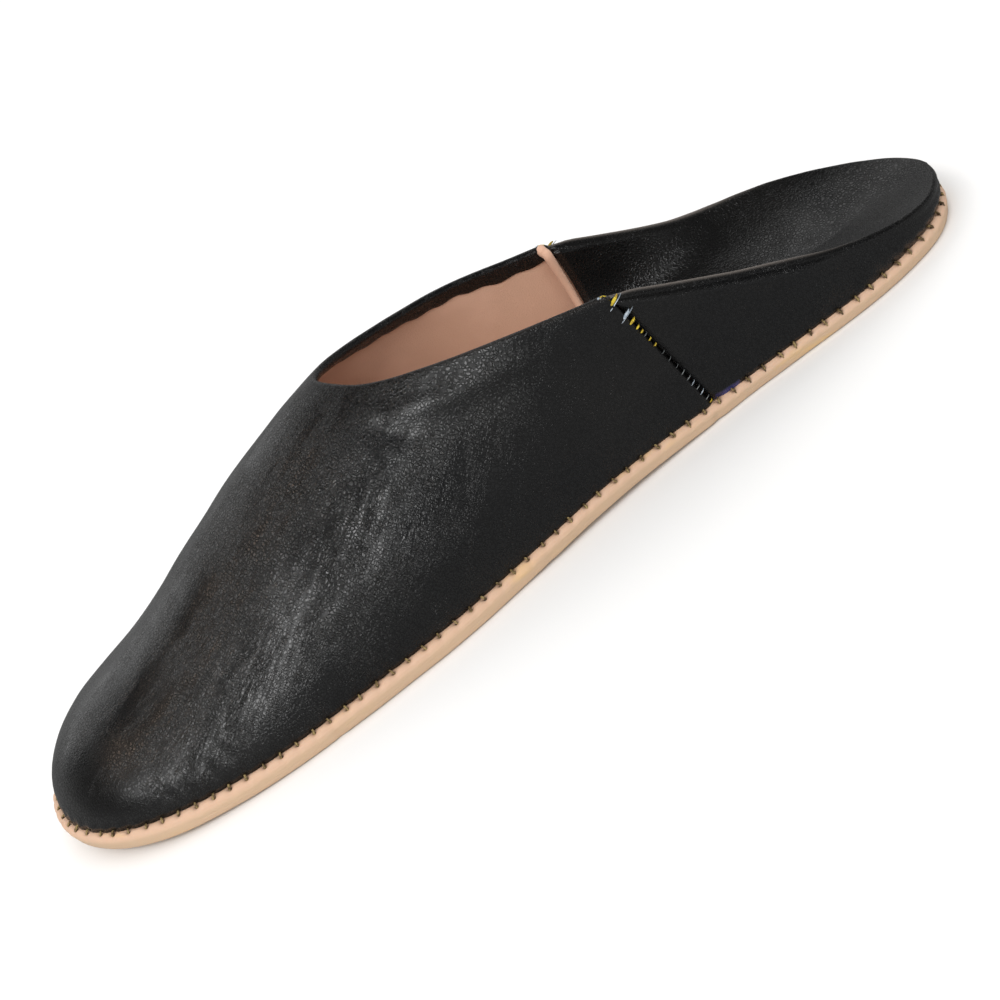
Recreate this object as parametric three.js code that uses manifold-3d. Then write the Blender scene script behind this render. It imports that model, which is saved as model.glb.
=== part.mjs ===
import * as THREE from 'three';
import Module from 'manifold-3d';

// Right-foot slipper: +Y points to the toe, +X to the outer side of the foot, +Z up. Millimetres.
const LENGTH = 275;
const VAMP_WALL = 1.6;
const QUARTER_WALL = 1.4;
const INSOLE_THICKNESS = 1;
const INSOLE_INSET = 2.7;
const CLEARANCE = 0.3;
const SEAM_GROOVE = 0.3;
const SEAM_LAP = 0.8;
const SEAM_SETBACK_FROM = 0.9;

// The sole stands flat at heel and forefoot, lifts a little at the arch and turns up at the toe.
const ARCH_LIFT = 1.2;
const ARCH_FROM = 0.27;
const ARCH_TO = 0.58;
const TOE_SPRING = 3.5;
const SPRING_FROM = 0.74;

// Where the side seams run, as shares of the length: at the sole and at the top edge.
const SEAM_FOOT = 0.3;
const SEAM_HEAD = 0.328;

// Outline of the sole by station. along: share of the length from the back of the heel,
// half: half width, bend: sideways shift of the middle towards the outer side,
// ledge: width of sole showing outside the upper, thick: thickness of the sole.
const OUTLINE = [
  { along: 0, half: 0, bend: 2.5, ledge: 1.5, thick: 4.3 },
  { along: 0.04, half: 20.5, bend: 2.5, ledge: 1.4, thick: 4.3 },
  { along: 0.12, half: 28.6, bend: 2.9, ledge: 1.3, thick: 4.2 },
  { along: 0.22, half: 30.2, bend: 2.9, ledge: 1.3, thick: 4.2 },
  { along: 0.3, half: 31.1, bend: 2.3, ledge: 1.4, thick: 4.3 },
  { along: 0.38, half: 33.4, bend: 1.4, ledge: 1.6, thick: 4.5 },
  { along: 0.5, half: 39.4, bend: 0.7, ledge: 2, thick: 4.8 },
  { along: 0.6, half: 44.5, bend: 0.5, ledge: 2.2, thick: 5 },
  { along: 0.7, half: 47.2, bend: 0.3, ledge: 2.4, thick: 5 },
  { along: 0.8, half: 46, bend: -1.4, ledge: 2.4, thick: 5 },
  { along: 0.88, half: 41.2, bend: -3.1, ledge: 2.4, thick: 5 },
  { along: 0.94, half: 33.1, bend: -4.3, ledge: 2.3, thick: 5 },
  { along: 0.985, half: 18.5, bend: -5.2, ledge: 2.2, thick: 5 },
  { along: 1, half: 0, bend: -6, ledge: 2.2, thick: 5 },
];

// Sections of the last by station. crest: height of the closed form over the sole,
// fullness: exponent of the section (2 is an ellipse, more is squarer).
const SECTIONS = [
  { along: 0, crest: 62, fullness: 5 },
  { along: 0.3, crest: 62, fullness: 5 },
  { along: 0.4, crest: 60.5, fullness: 3.2 },
  { along: 0.466, crest: 58.3, fullness: 2.4 },
  { along: 0.53, crest: 55.5, fullness: 2.05 },
  { along: 0.582, crest: 53, fullness: 1.95 },
  { along: 0.653, crest: 47.5, fullness: 1.8 },
  { along: 0.754, crest: 37, fullness: 1.72 },
  { along: 0.856, crest: 24.4, fullness: 1.7 },
  { along: 0.938, crest: 17.2, fullness: 1.75 },
  { along: 1, crest: 0, fullness: 1.75 },
];

// Top edge of the vamp from the side seam to the front of the throat.
// inner, outer: height over the sole on the inner and the outer side of the foot.
const THROAT = [
  { along: 0.328, inner: 40, outer: 35 },
  { along: 0.376, inner: 42.6, outer: 37.6 },
  { along: 0.422, inner: 45.1, outer: 40.8 },
  { along: 0.467, inner: 47.4, outer: 44 },
  { along: 0.51, inner: 49.6, outer: 47 },
  { along: 0.549, inner: 51.5, outer: 50 },
  { along: 0.582, inner: 53, outer: 53 },
];

// Rim of the heel quarter by rib, from the back of the heel to the side seam. foot: share of the
// length at the sole, ahead: how far the rim leans towards the toe, inner, outer: rim height over the
// sole on either side, flareInner, flareOuter: how far the rim hangs outside the foot of the wall.
const RIM = [
  { foot: 0, ahead: 0, inner: 4.7, outer: 4.7, flareInner: 2.6, flareOuter: 2.6 },
  { foot: 0.04, ahead: 0, inner: 6, outer: 6, flareInner: 1.8, flareOuter: 3.2 },
  { foot: 0.12, ahead: 0, inner: 12.2, outer: 12, flareInner: 1, flareOuter: 4.4 },
  { foot: 0.2, ahead: 2, inner: 22.4, outer: 18.8, flareInner: 0.6, flareOuter: 1.8 },
  { foot: 0.26, ahead: 5, inner: 32.2, outer: 28, flareInner: 0.2, flareOuter: 0.5 },
  { foot: 0.3, ahead: 7.7, inner: 40, outer: 35, flareInner: 0, flareOuter: 0 },
];

// The heel quarter rolls over the rim and lies down on the heel seat.
const ROLL_RADIUS = 2.05;
const WALL_BULGE = 0.9;
const SEAT_FRONT = 0.35;
const SEAT_REAR = 0.1;
const SEAT_FAN = 0.3;
const BOWL_FULLNESS_FRONT = 3.2;
const BOWL_FULLNESS_BACK = 2.2;

// Side of the sole from the floor up. inset: in from the outline, rise: share of the thickness.
const SOLE_SIDE = [
  { inset: 1.9, rise: 0 },
  { inset: 1.1, rise: 0.1 },
  { inset: 0.8, rise: 0.32 },
  { inset: 0.35, rise: 0.52 },
  { inset: 0, rise: 0.7 },
  { inset: 0.12, rise: 0.84 },
  { inset: 0.5, rise: 0.95 },
  { inset: 1.1, rise: 1 },
];

// Side of the insole from below. inset: in from the outer face of the upper's foot.
const INSOLE_SIDE = [
  { inset: INSOLE_INSET, rise: 0 },
  { inset: INSOLE_INSET, rise: 0.7 },
  { inset: INSOLE_INSET + 0.4, rise: 1 },
];

// How finely the forms are divided.
const OUTLINE_STEPS = 56;
const FEATHER_SAMPLES = 500;
const PATH_SAMPLES = 120;
const BISECTION_ROUNDS = 40;
const MERGE_DISTANCE = 1e-3;
const TANGENT_STEP = 0.002;
const END_STATION = 1e-6;
const VAMP_RIBS_PER_SIDE = 26;
const VAMP_RIB_STEPS = 15;
const RIBS_FAN_OUT = 0.4;
const QUARTER_RIBS_PER_SIDE = 17;
const QUARTER_WALL_STEPS = 6;
const QUARTER_ROLL_STEPS = 6;
const QUARTER_BOWL_STEPS = 10;

const INNER_SIDE = -1;
const OUTER_SIDE = 1;

function mix(from, to, share) {
  return from + (to - from) * share;
}

function smoothStep(low, high, value) {
  const share = Math.min(Math.max((value - low) / (high - low), 0), 1);
  return share * share * (3 - 2 * share);
}

// Stations are spread so that the outline closes with a round heel and toe.
function stationOf(along) {
  return Math.acos(1 - 2 * Math.min(Math.max(along, 0), 1)) / Math.PI;
}

function alongOf(station) {
  return (1 - Math.cos(Math.PI * station)) / 2;
}

// Smooth curve through one column of a table, read at a place of its key column.
function readColumn(rows, places, column, place) {
  const last = rows.length - 1;
  let index = 0;
  while (index < last - 1 && place > places[index + 1]) {
    index += 1;
  }
  const slopeAt = (row) => {
    const before = Math.max(row - 1, 0);
    const after = Math.min(row + 1, last);
    return (rows[after][column] - rows[before][column]) / (places[after] - places[before]);
  };
  const span = places[index + 1] - places[index];
  const share = Math.min(Math.max((place - places[index]) / span, 0), 1);
  const square = share * share;
  const cube = square * share;
  return (2 * cube - 3 * square + 1) * rows[index][column]
    + (cube - 2 * square + share) * span * slopeAt(index)
    + (3 * square - 2 * cube) * rows[index + 1][column]
    + (cube - square) * span * slopeAt(index + 1);
}

const OUTLINE_STATIONS = OUTLINE.map((row) => stationOf(row.along));
const SECTION_STATIONS = SECTIONS.map((row) => stationOf(row.along));

// A signed station runs from -1 (toe) along the inner side over 0 (heel) along the outer side to 1.
function outlinePoint(signedStation) {
  const wrapped = signedStation > 1 ? signedStation - 2 : signedStation;
  const station = Math.abs(wrapped);
  const side = wrapped < 0 ? INNER_SIDE : OUTER_SIDE;
  const half = readColumn(OUTLINE, OUTLINE_STATIONS, 'half', station);
  const bend = readColumn(OUTLINE, OUTLINE_STATIONS, 'bend', station);
  return new THREE.Vector2(bend + side * half, LENGTH * (alongOf(station) - 0.5));
}

function outlineNormal(signedStation) {
  const ahead = outlinePoint(signedStation + TANGENT_STEP);
  const tangent = ahead.sub(outlinePoint(signedStation - TANGENT_STEP));
  return new THREE.Vector2(tangent.y, -tangent.x).normalize();
}

function insetPoint(signedStation, inset) {
  return outlinePoint(signedStation).addScaledVector(outlineNormal(signedStation), -inset);
}

// Point on the feather line, where the upper meets the sole, moved out by a flare.
function featherPoint(signedStation, flare) {
  const ledge = readColumn(OUTLINE, OUTLINE_STATIONS, 'ledge', Math.abs(signedStation));
  return insetPoint(signedStation, ledge - flare);
}

// Height of the underside of the sole over the floor.
function soleRise(y) {
  const along = y / LENGTH + 0.5;
  let rise = 0;
  if (along > ARCH_FROM && along < ARCH_TO) {
    const share = (along - ARCH_FROM) / (ARCH_TO - ARCH_FROM);
    rise += ARCH_LIFT * Math.sin(Math.PI * share) ** 2;
  }
  if (along > SPRING_FROM) {
    const share = (along - SPRING_FROM) / (1 - SPRING_FROM);
    rise += TOE_SPRING * share * share;
  }
  return rise;
}

function soleThickness(y) {
  return readColumn(OUTLINE, OUTLINE_STATIONS, 'thick', stationOf(y / LENGTH + 0.5));
}

// Height at which the upper stands on the sole.
function upperBase(y) {
  return soleRise(y) + soleThickness(y) + CLEARANCE;
}

// The feather line as dense points from heel to toe on one side.
function featherSide(side) {
  const points = [];
  for (let step = 0; step <= FEATHER_SAMPLES; step += 1) {
    points.push(featherPoint(side * Math.max(step / FEATHER_SAMPLES, END_STATION), 0));
  }
  return points;
}

const FEATHER = { [INNER_SIDE]: featherSide(INNER_SIDE), [OUTER_SIDE]: featherSide(OUTER_SIDE) };
const FEATHER_BACK = FEATHER[OUTER_SIDE][0].y;
const FEATHER_TIP = FEATHER[OUTER_SIDE][FEATHER_SAMPLES].y;

// Sideways place of the feather line.
function featherX(side, y) {
  const points = FEATHER[side];
  let low = 0;
  let high = points.length - 1;
  while (high - low > 1) {
    const middle = Math.floor((low + high) / 2);
    if (points[middle].y > y) {
      high = middle;
    } else {
      low = middle;
    }
  }
  const share = (y - points[low].y) / Math.max(points[high].y - points[low].y, 1e-9);
  return mix(points[low].x, points[high].x, Math.min(Math.max(share, 0), 1));
}

function yOf(along) {
  return LENGTH * (along - 0.5);
}

// One cross section of the closed last.
function sectionAt(y) {
  const station = stationOf((y - FEATHER_BACK) / (FEATHER_TIP - FEATHER_BACK));
  const inner = featherX(INNER_SIDE, y);
  const outer = featherX(OUTER_SIDE, y);
  return {
    inner,
    outer,
    middle: (inner + outer) / 2,
    crest: readColumn(SECTIONS, SECTION_STATIONS, 'crest', station),
    fullness: readColumn(SECTIONS, SECTION_STATIONS, 'fullness', station),
  };
}

// Sideways place on a section at a given share of its crest height.
function sectionX(section, side, heightShare) {
  const reach = (1 - Math.min(heightShare, 1) ** section.fullness) ** (1 / section.fullness);
  const edge = side < 0 ? section.inner : section.outer;
  return section.middle + (edge - section.middle) * reach;
}

// Height of the last over the sole above a place of its plan.
function lastHeight(x, y) {
  const section = sectionAt(y);
  const edge = x < section.middle ? section.inner : section.outer;
  const reach = Math.min((x - section.middle) / (edge - section.middle || 1), 1);
  return section.crest * (1 - reach ** section.fullness) ** (1 / section.fullness);
}

// Points at even spacing along a dense path.
function evenPoints(path, steps) {
  const lengths = [0];
  for (let index = 1; index < path.length; index += 1) {
    lengths.push(lengths[index - 1] + path[index].distanceTo(path[index - 1]));
  }
  const total = lengths[lengths.length - 1];
  const points = [];
  let cursor = 0;
  for (let step = 0; step <= steps; step += 1) {
    const target = total * step / steps;
    while (cursor < path.length - 2 && lengths[cursor + 1] < target) {
      cursor += 1;
    }
    const span = lengths[cursor + 1] - lengths[cursor];
    const share = Math.min((target - lengths[cursor]) / Math.max(span, 1e-9), 1);
    points.push(path[cursor].clone().lerp(path[cursor + 1], share));
  }
  return points;
}

// Feather points of the vamp on one side, from the seam to the tip of the toe.
function vampFeet(side) {
  const seam = yOf(SEAM_FOOT) + SEAM_GROOVE / 2;
  const path = FEATHER[side].filter((point) => point.y > seam);
  path.unshift(new THREE.Vector2(featherX(side, seam), seam));
  return evenPoints(path, VAMP_RIBS_PER_SIDE);
}

// Throat points of the vamp on one side, from the head of the seam to the front of the throat.
function vampHeads(side) {
  const column = side < 0 ? 'inner' : 'outer';
  const places = THROAT.map((row) => row.along);
  const path = [];
  for (let step = 0; step <= PATH_SAMPLES; step += 1) {
    const share = 1 - (1 - step / PATH_SAMPLES) ** 2;
    const along = mix(SEAM_HEAD, places[places.length - 1], share);
    const y = yOf(along) + SEAM_GROOVE / 2 * (1 - share);
    const section = sectionAt(y);
    const heightShare = Math.min(readColumn(THROAT, places, column, along) / section.crest, 1);
    const x = sectionX(section, side, step === PATH_SAMPLES ? 1 : heightShare);
    path.push(new THREE.Vector3(x, y, section.crest * heightShare));
  }
  return evenPoints(path, VAMP_RIBS_PER_SIDE);
}

// One rib of the vamp from the sole up to the throat, on the surface of the last.
function vampRib(side, foot, head, toeShare) {
  const headShare = head.z / sectionAt(head.y).crest;
  const across = smoothStep(0, RIBS_FAN_OUT, toeShare);
  const path = [];
  for (let step = 0; step <= PATH_SAMPLES; step += 1) {
    const share = step / PATH_SAMPLES;
    const sideY = mix(foot.y, head.y, share);
    const sideX = sectionX(sectionAt(sideY), side, headShare * share);
    const plan = share * share;
    const x = mix(sideX, mix(foot.x, head.x, plan), across);
    const y = mix(sideY, mix(foot.y, head.y, plan), across);
    const height = step === 0 ? 0 : lastHeight(x, y);
    path.push(new THREE.Vector3(x, y, upperBase(y) + height));
  }
  return evenPoints(path, VAMP_RIB_STEPS);
}

function vampRibs() {
  const sides = {};
  for (const side of [INNER_SIDE, OUTER_SIDE]) {
    const feet = vampFeet(side);
    const heads = vampHeads(side);
    sides[side] = feet.map((foot, index) => vampRib(side, foot, heads[index], index / VAMP_RIBS_PER_SIDE));
  }
  return [...sides[INNER_SIDE], ...sides[OUTER_SIDE].slice(0, -1).reverse()];
}

const RIM_PLACES = RIM.map((row) => row.foot);

// Station at which the feather line reaches a given place along the foot.
function stationAt(side, y) {
  let low = 0;
  let high = 1;
  for (let round = 0; round < BISECTION_ROUNDS; round += 1) {
    const middle = (low + high) / 2;
    if (featherPoint(side * middle, 0).y > y) {
      high = middle;
    } else {
      low = middle;
    }
  }
  return Math.max(low, END_STATION);
}

// One rib of the heel quarter: up the outer wall, over the rim and down into the bowl of the heel.
function quarterRib(side, reach) {
  const station = stationAt(side, yOf(SEAM_FOOT)) * reach;
  const foot = featherPoint(side * Math.max(station, END_STATION), 0);
  const footAlong = foot.y / LENGTH + 0.5;
  const height = readColumn(RIM, RIM_PLACES, side < 0 ? 'inner' : 'outer', footAlong);
  const flare = readColumn(RIM, RIM_PLACES, side < 0 ? 'flareInner' : 'flareOuter', footAlong);
  const headY = foot.y + Math.max(readColumn(RIM, RIM_PLACES, 'ahead', footAlong), 0);
  const headStation = stationAt(side, headY);
  const head = featherPoint(side * headStation, flare);
  const normal = outlineNormal(side * headStation);
  const forward = smoothStep(0, 1, footAlong / SEAM_FOOT);
  const seam = SEAM_GROOVE / 2 * smoothStep(SEAM_SETBACK_FROM, 1, footAlong / SEAM_FOOT);
  const seatShare = Math.max((reach * reach - SEAT_FAN) / (1 - SEAT_FAN), 0);
  const seatY = yOf(mix(SEAT_REAR, SEAT_FRONT, seatShare));
  const seat = new THREE.Vector2((featherX(INNER_SIDE, seatY) + featherX(OUTER_SIDE, seatY)) / 2, seatY);
  const inward = seat.clone().sub(head).normalize().lerp(new THREE.Vector2(-side, 0), forward).normalize();
  const base = upperBase(foot.y);
  const rimZ = base + height - ROLL_RADIUS;
  const points = [];
  for (let step = 0; step < QUARTER_WALL_STEPS; step += 1) {
    const share = step / QUARTER_WALL_STEPS;
    const bulge = WALL_BULGE * Math.sin(Math.PI * share) * (1 - forward);
    const z = mix(base, rimZ, share);
    const plan = foot.clone().lerp(head, (z - base) / height).addScaledVector(normal, bulge);
    points.push(new THREE.Vector3(plan.x, plan.y - seam, z));
  }
  for (let step = 0; step < QUARTER_ROLL_STEPS; step += 1) {
    const turn = Math.PI * step / QUARTER_ROLL_STEPS;
    const z = rimZ + ROLL_RADIUS * Math.sin(turn);
    const plan = foot.clone().lerp(head, turn < Math.PI / 2 ? (z - base) / height : 1);
    plan.addScaledVector(inward, ROLL_RADIUS * (1 - Math.cos(turn)));
    points.push(new THREE.Vector3(plan.x, plan.y - seam, z));
  }
  const start = head.clone().addScaledVector(inward, 2 * ROLL_RADIUS);
  const seatZ = upperBase(seatY) + INSOLE_THICKNESS + CLEARANCE + QUARTER_WALL;
  const power = 2 / mix(BOWL_FULLNESS_BACK, BOWL_FULLNESS_FRONT, forward);
  const bowl = [];
  for (let step = 0; step <= PATH_SAMPLES; step += 1) {
    const turn = Math.PI / 2 * step / PATH_SAMPLES;
    const across = 1 - Math.max(Math.cos(turn), 0) ** power;
    const down = Math.sin(turn) ** power;
    const x = mix(start.x, seat.x, across);
    const y = mix(start.y - seam, seat.y, mix(across, Math.sin(Math.PI / 2 * across), forward));
    bowl.push(new THREE.Vector3(x, y, mix(rimZ, seatZ, down)));
  }
  points.push(...evenPoints(bowl, QUARTER_BOWL_STEPS));
  return points;
}

function quarterRibs() {
  const ribs = [];
  for (let index = -QUARTER_RIBS_PER_SIDE; index <= QUARTER_RIBS_PER_SIDE; index += 1) {
    const side = index < 0 ? INNER_SIDE : OUTER_SIDE;
    ribs.push(quarterRib(side, Math.abs(index) / QUARTER_RIBS_PER_SIDE));
  }
  return ribs.reverse();
}

// Sheet of ribs as shared points and triangles, without the triangles that shrink to a line.
function sheetOf(ribs) {
  const points = [];
  const numbers = new Map();
  const numberOf = (point) => {
    const key = point.toArray().map((value) => Math.round(value / MERGE_DISTANCE)).join(' ');
    if (!numbers.has(key)) {
      numbers.set(key, points.length);
      points.push(point);
    }
    return numbers.get(key);
  };
  const grid = ribs.map((rib) => rib.map(numberOf));
  const triangles = [];
  const addTriangle = (a, b, c) => {
    if (a !== b && b !== c && c !== a) {
      triangles.push([a, b, c]);
    }
  };
  for (let rib = 0; rib + 1 < grid.length; rib += 1) {
    for (let step = 0; step + 1 < grid[rib].length; step += 1) {
      addTriangle(grid[rib][step], grid[rib][step + 1], grid[rib + 1][step + 1]);
      addTriangle(grid[rib][step], grid[rib + 1][step + 1], grid[rib + 1][step]);
    }
  }
  return { points, grid, triangles };
}

function sheetNormals(sheet) {
  const normals = sheet.points.map(() => new THREE.Vector3());
  for (const [a, b, c] of sheet.triangles) {
    const along = sheet.points[b].clone().sub(sheet.points[a]);
    const across = sheet.points[c].clone().sub(sheet.points[a]);
    const face = along.cross(across);
    for (const corner of [a, b, c]) {
      normals[corner].add(face);
    }
  }
  return normals.map((normal) => normal.normalize());
}

// Keeps the cut edge of a seam rib in the plane of the seam.
function flattenSeamRib(sheet, normals, rib) {
  const foot = sheet.points[rib[0]];
  const ribPoints = rib.map((corner) => sheet.points[corner]);
  const head = ribPoints.reduce((high, point) => (point.z > high.z ? point : high));
  const seamPlane = new THREE.Vector3(0, head.z - foot.z, foot.y - head.y).normalize();
  for (const corner of rib) {
    normals[corner].projectOnPlane(seamPlane).normalize();
  }
}

// Closed solid between an outer sheet and the same sheet moved in by the wall thickness.
// Behind its seam ribs the inside reaches forward by the lap, which leaves a groove outside.
function thickened(ribs, wall, seamLap) {
  const sheet = sheetOf(ribs);
  const normals = sheetNormals(sheet);
  flattenSeamRib(sheet, normals, sheet.grid[0]);
  flattenSeamRib(sheet, normals, sheet.grid[sheet.grid.length - 1]);
  for (const rib of sheet.grid) {
    normals[rib[0]].setZ(0).normalize();
  }
  const inside = sheet.points.map((point, index) => point.clone().addScaledVector(normals[index], -wall));
  for (const corner of [...sheet.grid[0], ...sheet.grid[sheet.grid.length - 1]]) {
    inside[corner].y += seamLap;
  }
  const count = sheet.points.length;
  const faces = [];
  const edges = new Map();
  for (const [a, b, c] of sheet.triangles) {
    faces.push(a, b, c, a + count, c + count, b + count);
    for (const [from, to] of [[a, b], [b, c], [c, a]]) {
      edges.set(`${from} ${to}`, [from, to]);
    }
  }
  for (const [from, to] of edges.values()) {
    if (!edges.has(`${to} ${from}`)) {
      faces.push(to, from, from + count, to, from + count, to + count);
    }
  }
  const solid = new THREE.BufferGeometry().setFromPoints([...sheet.points, ...inside]);
  solid.setIndex(faces);
  return solid;
}

function soleCorner(signedStation, row) {
  const point = insetPoint(signedStation, row.inset);
  return new THREE.Vector3(point.x, point.y, soleRise(point.y) + row.rise * soleThickness(point.y));
}

function insoleCorner(signedStation, row) {
  const point = featherPoint(signedStation, -row.inset);
  return new THREE.Vector3(point.x, point.y, upperBase(point.y) + row.rise * INSOLE_THICKNESS);
}

// Slab with the outline of the foot, its side built from rows of a profile.
function slabGeometry(side, cornerAt) {
  const corners = [];
  const faces = [];
  const around = OUTLINE_STEPS * 2;
  for (const row of side) {
    for (let index = 0; index < around; index += 1) {
      const signed = index / OUTLINE_STEPS - 1;
      corners.push(cornerAt(signed === 0 ? END_STATION : signed, row));
    }
  }
  const at = (row, index) => row * around + (index + around) % around;
  for (let row = 0; row + 1 < side.length; row += 1) {
    for (let index = 0; index < around; index += 1) {
      faces.push(at(row, index), at(row, index + 1), at(row + 1, index + 1));
      faces.push(at(row, index), at(row + 1, index + 1), at(row + 1, index));
    }
  }
  const top = side.length - 1;
  for (let index = 0; index < OUTLINE_STEPS; index += 1) {
    const mirror = around - index;
    if (index > 0) {
      faces.push(at(0, index), at(0, mirror), at(0, index + 1));
      faces.push(at(top, index), at(top, index + 1), at(top, mirror));
    }
    if (index + 1 < OUTLINE_STEPS) {
      faces.push(at(0, index + 1), at(0, mirror), at(0, mirror - 1));
      faces.push(at(top, index + 1), at(top, mirror - 1), at(top, mirror));
    }
  }
  const solid = new THREE.BufferGeometry().setFromPoints(corners);
  solid.setIndex(faces);
  return solid;
}

function manifoldOf(geometry) {
  const mesh = new wasm.Mesh({
    numProp: 3,
    vertProperties: new Float32Array(geometry.getAttribute('position').array),
    triVerts: new Uint32Array(geometry.getIndex().array),
  });
  return new wasm.Manifold(mesh);
}

// The vamp and the heel quarter joined at the side seams into one hollow upper.
function upperGeometry() {
  const vamp = manifoldOf(thickened(vampRibs(), VAMP_WALL, 0));
  const quarter = manifoldOf(thickened(quarterRibs(), QUARTER_WALL, SEAM_LAP));
  const joined = vamp.add(quarter).getMesh();
  const solid = new THREE.BufferGeometry();
  solid.setAttribute('position', new THREE.BufferAttribute(new Float32Array(joined.vertProperties), 3));
  solid.setIndex(Array.from(joined.triVerts));
  return solid;
}

function piece(name, geometry, color, roughness) {
  const material = new THREE.MeshStandardMaterial({ color, roughness, metalness: 0 });
  const mesh = new THREE.Mesh(geometry, material);
  mesh.name = name;
  return mesh;
}

// Moves all pieces so that the middle of the underside of their common box is the origin.
function centreOnFloor(group) {
  const box = new THREE.Box3().setFromObject(group);
  const middle = box.getCenter(new THREE.Vector3());
  for (const mesh of group.children) {
    mesh.geometry.translate(-middle.x, -middle.y, -box.min.z);
    mesh.geometry.computeVertexNormals();
  }
  return group;
}

const wasm = await Module();
wasm.setup();

const slipper = new THREE.Group();
slipper.name = 'babouche_slipper';
slipper.add(piece('outsole', slabGeometry(SOLE_SIDE, soleCorner), 0xdcb694, 0.7));
slipper.add(piece('insole', slabGeometry(INSOLE_SIDE, insoleCorner), 0xbe917a, 0.75));
slipper.add(piece('upper', upperGeometry(), 0x161616, 0.45));

export default centreOnFloor(slipper);
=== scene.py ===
"""Looks of a black leather babouche slipper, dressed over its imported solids."""

import logging
import math
from dataclasses import dataclass, field
from enum import Enum
from typing import NamedTuple, Sequence

import bmesh
import bpy
import numpy as np
from mathutils import Matrix, Vector, noise


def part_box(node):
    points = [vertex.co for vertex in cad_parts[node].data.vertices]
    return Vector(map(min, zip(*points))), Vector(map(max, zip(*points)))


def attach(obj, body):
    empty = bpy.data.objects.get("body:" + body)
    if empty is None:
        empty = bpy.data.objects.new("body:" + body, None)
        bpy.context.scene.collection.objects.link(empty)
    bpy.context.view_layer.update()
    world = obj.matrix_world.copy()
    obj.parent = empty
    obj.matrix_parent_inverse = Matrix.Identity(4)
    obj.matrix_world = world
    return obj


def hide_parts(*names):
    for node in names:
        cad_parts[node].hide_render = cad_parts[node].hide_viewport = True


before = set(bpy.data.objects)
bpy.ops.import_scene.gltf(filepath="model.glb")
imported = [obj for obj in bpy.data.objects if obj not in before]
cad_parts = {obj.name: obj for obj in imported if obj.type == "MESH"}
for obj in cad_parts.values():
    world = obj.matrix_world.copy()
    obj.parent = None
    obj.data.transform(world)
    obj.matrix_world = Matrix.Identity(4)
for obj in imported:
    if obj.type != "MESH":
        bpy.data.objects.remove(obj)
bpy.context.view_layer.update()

Array = np.ndarray
Pair = tuple[float, float]
Triple = tuple[float, float, float]
Point = Triple
Colour = tuple[float, float, float, float]
Mesh = bmesh.types.BMesh
Piece = bpy.types.Object
Material = bpy.types.Material
Node = bpy.types.Node
Socket = bpy.types.NodeSocket
Tree = bpy.types.NodeTree

MM = 0.001
BODY = "root"
SHEET = "sheet"
TINY = 1e-6
WELD = 2e-6
OUTLINE_SAMPLES = 4001
log = logging.getLogger("slipper")


class Side(Enum):
    """Inner or outer side of the foot, as the sign of its sideways place."""

    INNER = -1
    OUTER = 1


class OutlineRow(NamedTuple):
    """One station of the sole: share of the length, half width, sideways bend, ledge and thickness."""

    along: float
    half: float
    bend: float
    ledge: float
    thick: float


class SectionRow(NamedTuple):
    """One section of the last: share of the length, crest height over the sole, fullness exponent."""

    along: float
    crest: float
    fullness: float


class ThroatRow(NamedTuple):
    """Top edge of the vamp: share of the length, height on the inner and the outer side."""

    along: float
    inner: float
    outer: float


class RimRow(NamedTuple):
    """Rim of the heel quarter: foot share, lean to the toe, heights and flares on either side."""

    foot: float
    ahead: float
    inner: float
    outer: float
    flare_inner: float
    flare_outer: float


class SideRow(NamedTuple):
    """Profile of the sole's side: distance in from the outline, share of the thickness."""

    inset: float
    rise: float


OUTLINE = tuple(OutlineRow(*row) for row in (
    (0, 0, 2.5, 1.5, 4.3),
    (0.04, 20.5, 2.5, 1.4, 4.3),
    (0.12, 28.6, 2.9, 1.3, 4.2),
    (0.22, 30.2, 2.9, 1.3, 4.2),
    (0.3, 31.1, 2.3, 1.4, 4.3),
    (0.38, 33.4, 1.4, 1.6, 4.5),
    (0.5, 39.4, 0.7, 2, 4.8),
    (0.6, 44.5, 0.5, 2.2, 5),
    (0.7, 47.2, 0.3, 2.4, 5),
    (0.8, 46, -1.4, 2.4, 5),
    (0.88, 41.2, -3.1, 2.4, 5),
    (0.94, 33.1, -4.3, 2.3, 5),
    (0.985, 18.5, -5.2, 2.2, 5),
    (1, 0, -6, 2.2, 5),
))

SECTIONS = tuple(SectionRow(*row) for row in (
    (0, 62, 5),
    (0.3, 62, 5),
    (0.4, 60.5, 3.2),
    (0.466, 58.3, 2.4),
    (0.53, 55.5, 2.05),
    (0.582, 53, 1.95),
    (0.653, 47.5, 1.8),
    (0.754, 37, 1.72),
    (0.856, 24.4, 1.7),
    (0.938, 17.2, 1.75),
    (1, 0, 1.75),
))

THROAT = tuple(ThroatRow(*row) for row in (
    (0.328, 40, 35),
    (0.376, 42.6, 37.6),
    (0.422, 45.1, 40.8),
    (0.467, 47.4, 44),
    (0.51, 49.6, 47),
    (0.549, 51.5, 50),
    (0.582, 53, 53),
))

RIM = tuple(RimRow(*row) for row in (
    (0, 0, 4.7, 4.7, 2.6, 2.6),
    (0.04, 0, 6, 6, 1.8, 3.2),
    (0.12, 0, 12.2, 12, 1, 4.4),
    (0.2, 2, 22.4, 18.8, 0.6, 1.8),
    (0.26, 5, 32.2, 28, 0.2, 0.5),
    (0.3, 7.7, 40, 35, 0, 0),
))

SOLE_SIDE = tuple(SideRow(*row) for row in (
    (1.7, 0),
    (0.8, 0.1),
    (0.45, 0.3),
    (0.2, 0.5),
    (0, 0.68),
    (0.12, 0.83),
    (0.5, 0.95),
    (1.1, 1),
))


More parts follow.
